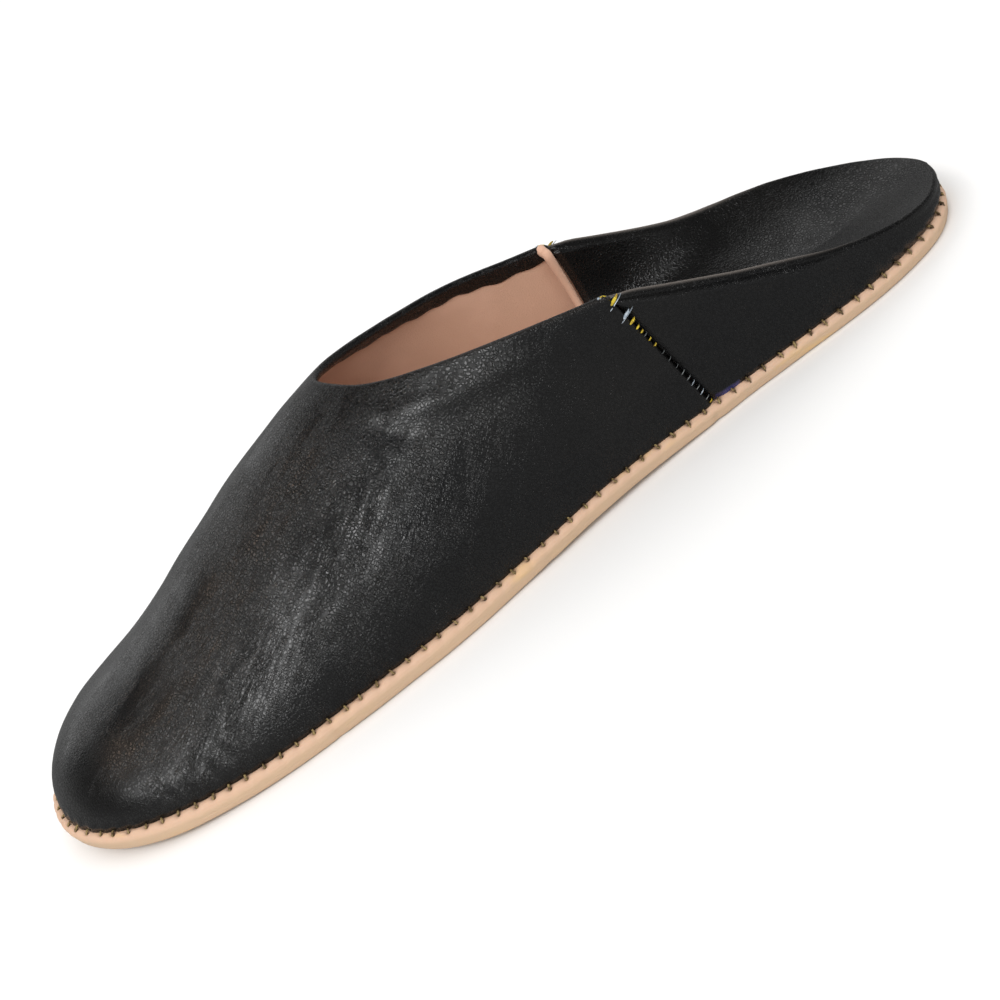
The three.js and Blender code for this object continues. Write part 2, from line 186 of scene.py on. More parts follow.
def smooth_step(low: float, high: float, value: Array) -> Array:
    """Soft ramp from 0 at low to 1 at high."""
    share = np.clip((np.asarray(value, float) - low) / (high - low), 0, 1)
    return share * share * (3 - 2 * share)


def bell(distance: Array, width: float) -> Array:
    """Soft bump that is 1 at distance 0 and fades over a width."""
    return np.exp(-((np.asarray(distance) / width) ** 2))


def station_of(along: Array) -> Array:
    """Station of a share of the length, spread so that heel and toe close round."""
    return np.arccos(1 - 2 * np.clip(along, 0, 1)) / np.pi


def along_of(station: Array) -> Array:
    """Share of the length at a station."""
    return (1 - np.cos(np.pi * np.asarray(station))) / 2


def running_length(path: Array) -> Array:
    """Length of a path of points up to each of them."""
    return np.concatenate([[0], np.cumsum(np.linalg.norm(np.diff(path, axis=0), axis=1))])


def resample(path: Array, shares: Array) -> Array:
    """Points at shares of the length of a dense path.

    Args:
        path: Points of the path, one row each.
        shares: Shares of the path's length.

    Returns:
        One point for each share.
    """
    lengths = running_length(path)
    target = np.asarray(shares) * lengths[-1]
    return np.stack([np.interp(target, lengths, column) for column in path.T], axis=1)


def unit(vectors: Array) -> Array:
    """Vectors at length 1."""
    return vectors / np.maximum(np.linalg.norm(vectors, axis=-1, keepdims=True), 1e-12)


def grid_normals(grid: Array) -> Array:
    """Unit normals of a grid of points, from its neighbours along both directions."""
    return unit(np.cross(np.gradient(grid, axis=0), np.gradient(grid, axis=1)))


def grain_field(points: Array, wave: float, seed: float) -> Array:
    """Smooth seeded noise over points, about -1 to 1.

    Args:
        points: Points in millimetres, in the last axis.
        wave: Size of the swells in millimetres.
        seed: Shift that picks another field.

    Returns:
        One value for each point.
    """
    flat = points.reshape(-1, 3) / wave + seed
    values = np.fromiter((noise.noise(Vector(place)) for place in flat), float, len(flat))
    return values.reshape(points.shape[:-1])


class Bump(NamedTuple):
    """Rounded ridge, or dip where height is below zero: place, width and height in millimetres."""

    place: float
    width: float
    height: float

    def lift(self, distance: Array) -> Array:
        """Lift at distances across the ridge, in millimetres."""
        return self.height * bell(distance - self.place, self.width)


SEAM_BUMPS = (Bump(0.0, 0.8, -0.95), Bump(2.6, 1.6, 0.25))
CREST_BUMPS = (Bump(0.0, 0.55, 0.5), Bump(-2.0, 1.0, -0.5), Bump(-4.6, 1.5, 0.5))
BACK_BUMP = Bump(-4.2, 2.2, -0.5)


class Swell(NamedTuple):
    """Slow unevenness of a sheet: height and size in millimetres, and the shift that picks the field."""

    height: float
    wave: float
    seed: float

    def lift(self, points: Array) -> Array:
        """Lift of the sheet at points, in millimetres."""
        return self.height * grain_field(points, self.wave, self.seed)


VAMP_SWELLS = (Swell(0.42, 21.0, 3.1), Swell(0.07, 8.0, 8.4))
WRINKLE_SWELL = Swell(0.1, 5.0, 5.5)
LINING_SWELL = Swell(0.12, 11.0, 21.0)
HEEL_SWELLS = (Swell(0.26, 19.0, 33.0), Swell(0.08, 7.0, 12.5))


class Curve:
    """Smooth curve through one column of a table."""

    def __init__(self, places: Sequence[float], values: Sequence[float]) -> None:
        """Keeps the rows and works out the slope at each.

        Args:
            places: Rising key of each row.
            values: Value of each row.
        """
        self.places = np.asarray(places, float)
        self.values = np.asarray(values, float)
        rows = np.arange(len(self.places))
        before = np.maximum(rows - 1, 0)
        after = np.minimum(rows + 1, len(rows) - 1)
        run = self.places[after] - self.places[before]
        self.slopes = (self.values[after] - self.values[before]) / run

    def __call__(self, place: Array) -> Array:
        """Value of the curve at each place."""
        place = np.asarray(place, float)
        row = np.clip(np.searchsorted(self.places, place) - 1, 0, len(self.places) - 2)
        span = self.places[row + 1] - self.places[row]
        share = np.clip((place - self.places[row]) / span, 0, 1)
        square, cube = share**2, share**3
        return (
            (2 * cube - 3 * square + 1) * self.values[row]
            + (cube - 2 * square + share) * span * self.slopes[row]
            + (3 * square - 2 * cube) * self.values[row + 1]
            + (cube - square) * span * self.slopes[row + 1]
        )


def station_curves(rows: Sequence[Sequence[float]]) -> list[Curve]:
    """Curves of a table's columns over the stations that its first column gives."""
    along, *columns = zip(*rows)
    return [Curve(station_of(along), column) for column in columns]


class Section(NamedTuple):
    """Cross sections of the last at several places along the foot."""

    inner: Array
    outer: Array
    crest: Array
    fullness: Array

    @property
    def middle(self) -> Array:
        """Sideways middle of each section."""
        return (self.inner + self.outer) / 2


@dataclass
class Last:
    """The form that sole and upper are shaped over, in millimetres."""

    length: float = 275.0
    clearance: float = 0.3
    arch_lift: float = 1.2
    arch_from: float = 0.27
    arch_to: float = 0.58
    toe_spring: float = 3.5
    spring_from: float = 0.74
    seam_foot: float = 0.3
    seam_head: float = 0.328
    seam_groove: float = 0.3
    feather_samples: int = 900
    path_samples: int = 140
    fan_out: float = 0.4
    shift: Array = field(default_factory=lambda: np.zeros(3))

    def __post_init__(self) -> None:
        """Reads the tables and traces the feather line on both sides."""
        self.half, self.bend, self.ledge, self.thick = station_curves(OUTLINE)
        self.crest, self.fullness = station_curves(SECTIONS)
        self.stations = np.linspace(0, 1, self.feather_samples + 1)
        self.line = {side: self.feather(side.value * np.maximum(self.stations, TINY)) for side in Side}
        self.back = self.line[Side.OUTER][0, 1]
        self.tip = self.line[Side.OUTER][-1, 1]

    def fit_frame(self) -> None:
        """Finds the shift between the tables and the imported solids."""
        low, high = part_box("outsole")
        outline = self.outline(np.linspace(-1, 1, OUTLINE_SAMPLES))
        self.shift = np.array([low.x / MM - outline[:, 0].min(), high.y / MM - outline[:, 1].max(), 0.0])

    def y_of(self, along: Array) -> Array:
        """Place along the foot at a share of the length."""
        return self.length * (np.asarray(along) - 0.5)

    def outline(self, signed: Array) -> Array:
        """Points of the sole's outline; stations run from -1 (toe) over 0 (heel) to 1 (toe)."""
        wrapped = (np.asarray(signed, float) + 1) % 2 - 1
        station = np.abs(wrapped)
        side = np.where(wrapped < 0, -1.0, 1.0)
        return np.stack([self.bend(station) + side * self.half(station), self.y_of(along_of(station))], -1)

    def outline_normal(self, signed: Array) -> Array:
        """Outward normals of the outline in plan."""
        step = 0.002
        run = self.outline(np.asarray(signed) + step) - self.outline(np.asarray(signed) - step)
        return unit(np.stack([run[..., 1], -run[..., 0]], -1))

    def inset(self, signed: Array, inset: Array) -> Array:
        """Points of the outline moved in."""
        return self.outline(signed) - self.outline_normal(signed) * np.asarray(inset)[..., None]

    def feather(self, signed: Array, flare: Array = 0.0) -> Array:
        """Points of the line where the upper meets the sole, moved out by a flare."""
        return self.inset(signed, self.ledge(np.abs(signed)) - flare)

    def sole_rise(self, y: Array) -> Array:
        """Height of the sole's underside over the floor."""
        along = np.asarray(y) / self.length + 0.5
        arch = np.clip((along - self.arch_from) / (self.arch_to - self.arch_from), 0, 1)
        spring = np.clip((along - self.spring_from) / (1 - self.spring_from), 0, None)
        return self.arch_lift * np.sin(np.pi * arch) ** 2 + self.toe_spring * spring**2

    def sole_thickness(self, y: Array) -> Array:
        """Thickness of the sole."""
        return self.thick(station_of(np.asarray(y) / self.length + 0.5))

    def base(self, y: Array) -> Array:
        """Height at which the upper stands on the sole."""
        return self.sole_rise(y) + self.sole_thickness(y) + self.clearance

    def feather_x(self, side: Side, y: Array) -> Array:
        """Sideways place of the feather line."""
        line = self.line[side]
        return np.interp(y, line[:, 1], line[:, 0])

    def station_at(self, side: Side, y: Array) -> Array:
        """Station at which the feather line reaches a place along the foot."""
        return np.maximum(np.interp(y, self.line[side][:, 1], self.stations), TINY)

    def signed_station(self, y: Array, inner: Array) -> Array:
        """Stations of places along the foot, below zero where they are on the inner side."""
        return np.where(inner, -self.station_at(Side.INNER, y), self.station_at(Side.OUTER, y))

    def section(self, y: Array) -> Section:
        """Cross sections of the closed last at places along the foot."""
        station = station_of((np.asarray(y) - self.back) / (self.tip - self.back))
        inner, outer = self.feather_x(Side.INNER, y), self.feather_x(Side.OUTER, y)
        return Section(inner, outer, self.crest(station), self.fullness(station))

    def section_x(self, section: Section, side: Side, share: Array) -> Array:
        """Sideways place on sections at a share of their crest height."""
        reach = (1 - np.clip(share, 0, 1) ** section.fullness) ** (1 / section.fullness)
        edge = section.inner if side is Side.INNER else section.outer
        return section.middle + (edge - section.middle) * reach

    def height(self, x: Array, y: Array) -> Array:
        """Height of the last over the sole above places of its plan."""
        section = self.section(y)
        edge = np.where(x < section.middle, section.inner, section.outer)
        run = np.where(np.abs(edge - section.middle) < 1e-9, 1.0, edge - section.middle)
        reach = np.clip((x - section.middle) / run, 0, 1)
        return section.crest * (1 - reach**section.fullness) ** (1 / section.fullness)

    def vamp_feet(self, side: Side, ribs: int) -> Array:
        """Even points of the feather line from the side seam to the tip of the toe."""
        seam = self.y_of(self.seam_foot) + self.seam_groove / 2
        line = self.line[side]
        path = np.vstack([[self.feather_x(side, seam), seam], line[line[:, 1] > seam]])
        return resample(path, np.linspace(0, 1, ribs + 1))

    def vamp_heads(self, side: Side, ribs: int) -> Array:
        """Even points of the throat from the head of the side seam to its front."""
        places = [row.along for row in THROAT]
        heights = [row.inner if side is Side.INNER else row.outer for row in THROAT]
        share = 1 - (1 - np.linspace(0, 1, self.path_samples + 1)) ** 2
        along = self.seam_head + (places[-1] - self.seam_head) * share
        y = self.y_of(along) + self.seam_groove / 2 * (1 - share)
        section = self.section(y)
        rise = np.minimum(Curve(places, heights)(along) / section.crest, 1)
        turn = rise.copy()
        turn[-1] = 1
        path = np.stack([self.section_x(section, side, turn), y, section.crest * rise], -1)
        return resample(path, np.linspace(0, 1, ribs + 1))

    def vamp_paths(self, side: Side, ribs: int) -> Array:
        """Dense ribs of the vamp on one side, from the sole up to the throat."""
        foot = self.vamp_feet(side, ribs)[:, None, :]
        head = self.vamp_heads(side, ribs)[:, None, :]
        rise = head[..., 2] / self.section(head[..., 1]).crest
        across = smooth_step(0, self.fan_out, np.linspace(0, 1, ribs + 1))[:, None]
        share = np.linspace(0, 1, self.path_samples + 1)[None, :]
        side_y = foot[..., 1] + (head[..., 1] - foot[..., 1]) * share
        side_x = self.section_x(self.section(side_y), side, rise * share)
        plan = share**2
        fan_x = foot[..., 0] + (head[..., 0] - foot[..., 0]) * plan
        fan_y = foot[..., 1] + (head[..., 1] - foot[..., 1]) * plan
        x = side_x + (fan_x - side_x) * across
        y = side_y + (fan_y - side_y) * across
        height = self.height(x, y)
        height[:, 0] = 0
        return np.stack([x, y, self.base(y) + height], -1) + self.shift

    def place(self, points: Array) -> Array:
        """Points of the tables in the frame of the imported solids."""
        return points + self.shift[: points.shape[-1]]


@dataclass(frozen=True)
class Crease:
    """Soft ridge, or trough where lift is below zero, along a line of points in millimetres."""

    points: tuple[Point, ...]
    width: float
    lift: float

    def relief(self, places: Array) -> Array:
        """Lift of the surface at places.

        Args:
            places: Points of the surface in the last axis.

        Returns:
            Signed lift in millimetres for each place.
        """
        nearest = np.full(places.shape[:-1], np.inf)
        along = np.zeros(places.shape[:-1])
        count = len(self.points) - 1
        for index in range(count):
            start = np.array(self.points[index])
            run = np.array(self.points[index + 1]) - start
            share = np.clip(((places - start) @ run) / (run @ run), 0, 1)
            distance = np.linalg.norm(places - start - share[..., None] * run, axis=-1)
            closer = distance < nearest
            nearest = np.where(closer, distance, nearest)
            along = np.where(closer, (index + share) / count, along)
        taper = smooth_step(0, 0.25, along) * smooth_step(0, 0.25, 1 - along)
        return self.lift * bell(nearest, self.width) * taper


@dataclass(frozen=True)
class Patch:
    """Round soft-edged area of the surface, in millimetres."""

    centre: Point
    radius: float
    weight: float

    def mask(self, places: Array) -> Array:
        """Weight of the area at places of the surface."""
        return self.weight * bell(np.linalg.norm(places - np.array(self.centre), axis=-1), self.radius)


VAMP_CREASES = tuple(Crease(*row) for row in (
    (((-20, 110, 21), (-19, 92, 28), (-20, 74, 34), (-21, 56, 40)), 5.0, -0.35),
    (((-30, 113, 18), (-27.5, 96, 24), (-26.5, 76, 31), (-26, 56, 37.5)), 4.5, 0.3),
    (((-40, 104, 13), (-44, 100, 8)), 1.2, -0.32),
    (((-38.5, 107, 12.5), (-42, 104, 7.5)), 1.1, -0.3),
    (((-36, 98, 17), (-43.5, 93, 8.5)), 1.5, -0.25),
    (((-37, 92, 18), (-44, 87, 9)), 1.4, -0.22),
    (((-30, 80, 27), (-37, 79, 20), (-42.5, 80, 13)), 1.7, -0.22),
    (((-31, 75, 27.5), (-38, 74, 20.5), (-43, 75, 13)), 1.6, -0.2),
    (((-29, 69, 30), (-37, 68, 23), (-42, 69, 16)), 1.8, -0.2),
    (((-30, 62, 32), (-38, 61, 24), (-42.5, 60, 15)), 2.2, -0.18),
    (((-25, 50, 39), (-33, 49, 32), (-39, 50, 23)), 3.0, -0.16),
    (((-26, 36, 43), (-34, 35, 34), (-38.5, 36, 24)), 3.2, -0.16),
    (((-20, 18, 51), (-28, 10, 46), (-31, -4, 42), (-31, -20, 40)), 3.2, -0.45),
    (((-14, 19, 55), (-23, 12, 51), (-27, -2, 47.5), (-28, -20, 44.5), (-28.5, -36, 42)), 2.6, 0.45),
    (((-36, 40, 26), (-38, 20, 24), (-38, 0, 22), (-36, -18, 20)), 8.0, 0.4),
    (((12, 106, 21), (14, 90, 27), (13, 70, 34), (10, 50, 41)), 6.0, -0.4),
    (((30, 78, 26), (37, 76, 18), (41, 76, 12)), 1.8, -0.25),
    (((31, 68, 28), (38, 66, 20), (42.5, 66, 13)), 1.7, -0.25),
    (((29, 52, 34), (37, 50, 26), (41, 50, 18)), 2.2, -0.2),
    (((0, 112, 23), (1, 100, 27), (-1, 84, 33)), 7.0, 0.25),
))

WRINKLED = tuple(Patch(*row) for row in (
    ((-36, 78, 21), 17, 1.0),
    ((-38, 98, 13), 12, 0.9),
    ((-32, 45, 34), 22, 0.75),
    ((-30, 24, 40), 16, 0.5),
    ((36, 74, 20), 20, 0.8),
    ((34, 45, 30), 20, 0.6),
    ((0, 60, 42), 22, 0.3),
))

HEEL_CREASES = tuple(Crease(*row) for row in (
    (((-23.5, -84, 21), (-25, -90, 14), (-25.5, -95, 8)), 4.0, 0.55),
    (((-24, -93, 16), (-25, -99, 11), (-24.5, -103, 7)), 3.2, -0.6),
    (((-26, -74, 22), (-26.5, -80, 14), (-26.5, -84, 8)), 4.5, -0.4),
    (((28, -88, 20), (30, -93, 13), (30.5, -97, 8)), 4.0, -0.5),
    (((20, -72, 12), (17, -86, 9), (9, -98, 8.5)), 6.0, 0.45),
    (((-12, -74, 10), (-8, -90, 8.5), (2, -104, 8)), 6.0, -0.35),
    (((24, -58, 22), (22, -66, 14), (16, -74, 10)), 4.0, 0.35),
))


@dataclass(frozen=True)
class Sheet:
    """Grid of points with its values, ready to become a mesh."""

    points: Array
    values: dict[str, Array]
    uv: Array
    turned: bool = False
    closed: bool = False

    def into(self, mesh: Mesh) -> None:
        """Adds the sheet to a mesh as a grid that is moved onto its points.

        Args:
            mesh: Mesh that takes the sheet.
        """
        across, up = self.points.shape[0] - 1, self.points.shape[1] - 1
        for name in self.values:
            if name not in mesh.verts.layers.float:
                mesh.verts.layers.float.new(name)
        if SHEET not in mesh.loops.layers.uv:
            mesh.loops.layers.uv.new(SHEET)
        layers = {name: mesh.verts.layers.float[name] for name in self.values}
        uv_layer = mesh.loops.layers.uv[SHEET]
        made = bmesh.ops.create_grid(mesh, x_segments=across, y_segments=up, size=0.5)["verts"]
        cells = {vert: (round((vert.co.x + 0.5) * across), round((vert.co.y + 0.5) * up)) for vert in made}
        faces = {face for vert in made for face in vert.link_faces}
        for vert, cell in cells.items():
            vert.co = Vector(self.points[cell]) * MM
            for name, layer in layers.items():
                vert[layer] = self.values[name][cell]
        for face in faces:
            for loop in face.loops:
                loop[uv_layer].uv = self.uv[cells[loop.vert]]
        if self.turned:
            bmesh.ops.reverse_faces(mesh, faces=list(faces))
        if self.closed:
            bmesh.ops.remove_doubles(mesh, verts=made, dist=WELD)

    def piece(self, name: str, material: Material, thickness: float) -> Piece:
        """Makes the sheet an object of leather that is thick towards the inside.

        Args:
            name: Name of the piece.
            material: Its finish.
            thickness: Thickness of the leather in millimetres.

        Returns:
            The object, linked into the scene.
        """
        mesh = bmesh.new()
        self.into(mesh)
        made = mesh_object(name, mesh, material)
        wall = made.modifiers.new("wall", "SOLIDIFY")
        wall.thickness = thickness * MM
        wall.offset = -1
        wall.use_rim = True
        return made


def mesh_object(name: str, mesh: Mesh, material: Material) -> Piece:
    """Turns a mesh into a smooth object with one material.

    Args:
        name: Name of the piece.
        mesh: Its mesh, which is freed.
        material: Its finish.

    Returns:
        The object, linked into the scene.
    """
    data = bpy.data.meshes.new(name)
    mesh.to_mesh(data)
    mesh.free()
    data.polygons.foreach_set("use_smooth", [True] * len(data.polygons))
    data.materials.append(material)
    made = bpy.data.objects.new(name, data)
    bpy.context.scene.collection.objects.link(made)
    return made


def seat(piece: Piece, slot: str, *nodes: str) -> Piece:
    """Lets a piece ride on the slipper and hides the solids that it stands for."""
    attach(piece, BODY)
    if nodes:
        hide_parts(*nodes)
    log.info("%s: %d faces", piece.name, len(piece.data.polygons))
    return piece


def tube_sheet(path: Array, radii: Sequence[float], around: int) -> Sheet:
    """Round thread or roll along a path, with a radius for each point.

    Args:
        path: Points of the middle line in millimetres.
        radii: Radius at each point.
        around: Number of sides.

    Returns:
        The closed sheet.
    """
    run = unit(np.gradient(path, axis=0))
    guide = np.array([0.0, 0.0, 1.0]) if abs(run[:, 2]).mean() < 0.8 else np.array([0.0, 1.0, 0.0])
    first = unit(np.cross(run, guide))
    second = np.cross(run, first)
    turn = np.linspace(0, 2 * np.pi, around + 1)[:, None, None]
    ring = np.cos(turn) * first[None] + np.sin(turn) * second[None]
    points = path[None] + ring * np.asarray(radii)[None, :, None]
    uv = np.stack(np.meshgrid(turn[:, 0, 0], running_length(path), indexing="ij"), -1)
    return Sheet(points, {}, uv, closed=True)


class Nodes:
    """Places and links the nodes of one shader tree."""

    def __init__(self, tree: Tree) -> None:
        """Starts from an empty tree."""
        self.tree = tree
        tree.nodes.clear()

    def add(self, kind: str, **settings: object) -> Node:
        """Adds a node and sets its properties."""
        node = self.tree.nodes.new(kind)
        for name, value in settings.items():
            setattr(node, name, value)
        return node

    def feed(self, node: Node, **inputs: object) -> Node:
        """Links or sets inputs of a node; names use _ for a space."""
        for name, value in inputs.items():
            self.put(node.inputs[name.replace("_", " ")], value)
        return node

    def put(self, socket: Socket, value: object) -> None:
        """Links a socket to another one or sets its value."""
        if isinstance(value, Socket):
            self.tree.links.new(value, socket)
        else:
            socket.default_value = value

    def math(self, operation: str, first: object, second: object = 0.0) -> Socket:
        """Result of a sum, product or other operation on two values."""
        node = self.add("ShaderNodeMath", operation=operation)
        self.put(node.inputs[0], first)
        self.put(node.inputs[1], second)
        return node.outputs[0]

    def ramp(
        self, value: object, low: float, high: float, start: float = 0.0, end: float = 1.0
    ) -> Socket:
        """Value moved from one range to another with soft ends."""
        node = self.add("ShaderNodeMapRange", interpolation_type="SMOOTHSTEP")
        self.feed(node, Value=value, From_Min=low, From_Max=high, To_Min=start, To_Max=end)
        return node.outputs["Result"]

    def mix(self, share: object, first: object, second: object) -> Socket:
        """Colour between two colours."""
        node = self.add("ShaderNodeMix", data_type="RGBA")
        self.put(node.inputs["Factor"], share)
        self.put(node.inputs[6], first)
        self.put(node.inputs[7], second)
        return node.outputs[2]

    def noise(self, vector: object, scale: float, detail: float = 3.0, rough: float = 0.55) -> Socket:
        """Cloudy noise value at a scale."""
        node = self.add("ShaderNodeTexNoise")
        self.feed(node, Vector=vector, Scale=scale, Detail=detail, Roughness=rough)
        return node.outputs["Fac"]

    def stretched(self, vector: object, scale: Triple, turn: float = 0.0) -> Socket:
        """Vector scaled by different amounts along its axes, then turned."""
        node = self.add("ShaderNodeMapping")
        return self.feed(node, Vector=vector, Scale=scale, Rotation=(0, 0, turn)).outputs["Vector"]

    def place(self) -> Socket:
        """Place on the object, in metres."""
        return self.add("ShaderNodeTexCoord").outputs["Object"]

    def sheet(self) -> Socket:
        """Place on the flat sheet, in millimetres."""
        return self.add("ShaderNodeUVMap", uv_map=SHEET).outputs["UV"]

    def group(self, tree: Tree, **inputs: object) -> Node:
        """Adds a node group and feeds its inputs."""
        return self.feed(self.add("ShaderNodeGroup", node_tree=tree), **inputs)

    def value_of(self, name: str) -> Socket:
        """Value that the mesh carries under a name."""
        return self.add("ShaderNodeAttribute", attribute_name=name).outputs["Fac"]

    def bump(self, height: object, depth: float, below: object = None) -> Socket:
        """Normal of a surface with a height pattern of a depth in metres."""
        node = self.add("ShaderNodeBump")
        self.feed(node, Height=height, Strength=1.0, Distance=depth)
        if below is not None:
            self.put(node.inputs["Normal"], below)
        return node.outputs["Normal"]


def new_group(
    name: str, inputs: dict[str, str], outputs: dict[str, str]
) -> tuple[Nodes, Node, Node]:
    """Empty shader node group with named sockets.

    Args:
        name: Name of the group.
        inputs: Socket names and types that go in.
        outputs: Socket names and types that come out.

    Returns:
        The group's nodes, its input node and its output node.
    """
    tree = bpy.data.node_groups.new(name, "ShaderNodeTree")
    for label, kind in inputs.items():
        tree.interface.new_socket(label, in_out="INPUT", socket_type=kind)
    for label, kind in outputs.items():
        tree.interface.new_socket(label, in_out="OUTPUT", socket_type=kind)
    nodes = Nodes(tree)
    return nodes, nodes.add("NodeGroupInput"), nodes.add("NodeGroupOutput")


GRAIN_WARPS = ((320.0, 0.0018), (1500.0, 0.0007))
LINE_SETS = (
    ((0.55, 0.16, 1.0), 0.2, 0.045),
    ((0.7, 0.24, 1.0), -0.5, 0.045),
    ((0.36, 0.08, 1.0), 0.04, 0.06),
)


def pebble_grain() -> Tree:
    """Group that gives the height of fine pebbled leather grain and its valleys."""
    nodes, start, end = new_group(
        "pebble_grain",
        {"Vector": "NodeSocketVector", "Scale": "NodeSocketFloat"},
        {"Height": "NodeSocketFloat", "Valley": "NodeSocketFloat"},
    )
    place, scale = start.outputs["Vector"], start.outputs["Scale"]
    moved = place
    for wave, reach in GRAIN_WARPS:
        warp = nodes.add("ShaderNodeTexNoise")
        nodes.feed(warp, Vector=place, Scale=wave, Detail=2.0)
        shift = nodes.add("ShaderNodeVectorMath", operation="MULTIPLY_ADD")
        nodes.put(shift.inputs[0], warp.outputs["Color"])
        shift.inputs[1].default_value = (reach, reach, reach)
        nodes.put(shift.inputs[2], moved)
        moved = shift.outputs["Vector"]
    cells = nodes.add("ShaderNodeTexVoronoi", feature="DISTANCE_TO_EDGE")
    nodes.feed(cells, Vector=moved, Scale=scale)
    dome = nodes.ramp(cells.outputs["Distance"], 0.0, 0.26)
    fine = nodes.add("ShaderNodeTexVoronoi", feature="F1")
    nodes.feed(fine, Vector=moved, Scale=nodes.math("MULTIPLY", scale, 2.1))
    swell = nodes.noise(place, 430.0, 2.0)
    height = nodes.math("ADD", dome, nodes.math("MULTIPLY", swell, 1.2))
    height = nodes.math("SUBTRACT", height, nodes.math("MULTIPLY", fine.outputs["Distance"], 0.3))
    patches = nodes.ramp(nodes.noise(place, 60.0, 2.0), 0.36, 0.64, 0.55, 1.15)
    nodes.put(end.inputs["Height"], nodes.math("MULTIPLY", height, patches))
    nodes.put(end.inputs["Valley"], nodes.ramp(cells.outputs["Distance"], 0.0, 0.24, 1.0, 0.0))
    return nodes.tree


def skin_lines() -> Tree:
    """Group that gives a network of fine lines and the wrinkles that run up the sheet."""
    nodes, start, end = new_group(
        "skin_lines",
        {"Sheet": "NodeSocketVector", "Wrinkle": "NodeSocketFloat"},
        {"Height": "NodeSocketFloat"},
    )
    sheet, wrinkle = start.outputs["Sheet"], start.outputs["Wrinkle"]
    lines = []
    for scale, turn, width in LINE_SETS:
        cloud = nodes.add("ShaderNodeTexNoise")
        vector = nodes.stretched(sheet, scale, turn)
        nodes.feed(cloud, Vector=vector, Scale=1.0, Detail=3.0, Roughness=0.6, Distortion=0.7)
        swing = nodes.math("ABSOLUTE", nodes.math("SUBTRACT", cloud.outputs["Fac"], 0.5))
        lines.append(nodes.ramp(swing, 0.0, width, 1.0, 0.0))
    clouds = nodes.noise(nodes.stretched(sheet, (0.11, 0.07, 1.0)), 1.0, 2.0)
    weight = nodes.math("ADD", nodes.math("MULTIPLY", wrinkle, 0.8), 0.3)
    weight = nodes.math("MULTIPLY", weight, nodes.ramp(clouds, 0.4, 0.62))
    fine = nodes.math("MULTIPLY", nodes.math("MAXIMUM", lines[0], lines[1]), weight)
    long = nodes.math("MULTIPLY", nodes.math("MULTIPLY", lines[2], wrinkle), 0.8)
    nodes.put(end.inputs["Height"], nodes.math("MAXIMUM", nodes.math("ADD", fine, long), 0.0))
    return nodes.tree


def cloudy_wear() -> Tree:
    """Group that gives broad soft patches and fine specks."""
    nodes, start, end = new_group(
        "cloudy_wear",
        {"Vector": "NodeSocketVector"},
        {"Broad": "NodeSocketFloat", "Specks": "NodeSocketFloat"},
    )
    place = start.outputs["Vector"]
    nodes.put(end.inputs["Broad"], nodes.ramp(nodes.noise(place, 28.0, 3.0), 0.35, 0.68))
    nodes.put(end.inputs["Specks"], nodes.ramp(nodes.noise(place, 900.0, 2.0), 0.6, 0.75))
    return nodes.tree


class Effects:
    """Shader groups that several finishes share."""

    def __init__(self) -> None:
        """Builds each group once."""
        self.grain = pebble_grain()
        self.lines = skin_lines()
        self.wear = cloudy_wear()


def new_material(name: str) -> tuple[Material, Nodes, Node]:
    """Material with a Principled shader.

    Args:
        name: Name of the finish.

    Returns:
        The material, its nodes and its shader.
    """
    material = bpy.data.materials.new(name)
    material.use_nodes = True
    nodes = Nodes(material.node_tree)
    shader = nodes.add("ShaderNodeBsdfPrincipled")
    output = nodes.add("ShaderNodeOutputMaterial")
    nodes.put(output.inputs["Surface"], shader.outputs["BSDF"])
    return material, nodes, shader


@dataclass(frozen=True)
class BlackLeather:
    """Black goat leather with a fine pebbled grain and a soft shine."""

    name: str = "black_leather"
    deep: Colour = (0.003, 0.0031, 0.0034, 1)
    worn: Colour = (0.0048, 0.0046, 0.0044, 1)
    # Lighter brownish colour along folded edges: a thin line on the crest of the heel rim and a faint touch
    # on the fold of the throat edge.
    lighter_edge: Colour = (0.16, 0.14, 0.125, 1)
    ink: Colour = (0.07, 0.075, 0.28, 1)
    grain_scale: float = 1120.0
    grain_depth: float = 0.00005
    line_depth: float = 0.00007
    toe_from: float = 0.045
    toe_to: float = 0.1
    toe_grain: float = 0.4
    rough_low: float = 0.19
    rough_high: float = 0.25
    rough_valley: float = 0.12
    gloss: float = 0.7
    valley_gloss: float = 0.7

    def material(self, effects: Effects) -> Material:
        """Makes the finish."""
        material, nodes, shader = new_material(self.name)
        place = nodes.place()
        wear = nodes.group(effects.wear, Vector=place)
        grain = nodes.group(effects.grain, Vector=place, Scale=self.grain_scale)
        lines = nodes.group(effects.lines, Sheet=nodes.sheet(), Wrinkle=nodes.value_of("wrinkle"))
        colour = nodes.mix(wear.outputs["Broad"], self.deep, self.worn)
        colour = nodes.mix(nodes.value_of("lighter_edge"), colour, self.lighter_edge)
        colour = nodes.mix(nodes.value_of("ink"), colour, self.ink)
        rough = nodes.ramp(wear.outputs["Broad"], 0.0, 1.0, self.rough_low, self.rough_high)
        rough = nodes.math("ADD", rough, nodes.math("MULTIPLY", grain.outputs["Valley"], self.rough_valley))
        normal = nodes.bump(lines.outputs["Height"], self.line_depth)
        along = nodes.feed(nodes.add("ShaderNodeSeparateXYZ"), Vector=place).outputs["Y"]
        smoother = nodes.ramp(along, self.toe_from, self.toe_to, 1.0, self.toe_grain)
        height = nodes.math("MULTIPLY", grain.outputs["Height"], smoother)
        normal = nodes.bump(height, self.grain_depth, normal)
        shine = nodes.ramp(grain.outputs["Valley"], 0.0, 1.0, self.gloss, self.gloss * self.valley_gloss)
        nodes.feed(shader, Base_Color=colour, Roughness=rough, Normal=normal, Specular_IOR_Level=shine)
        return material


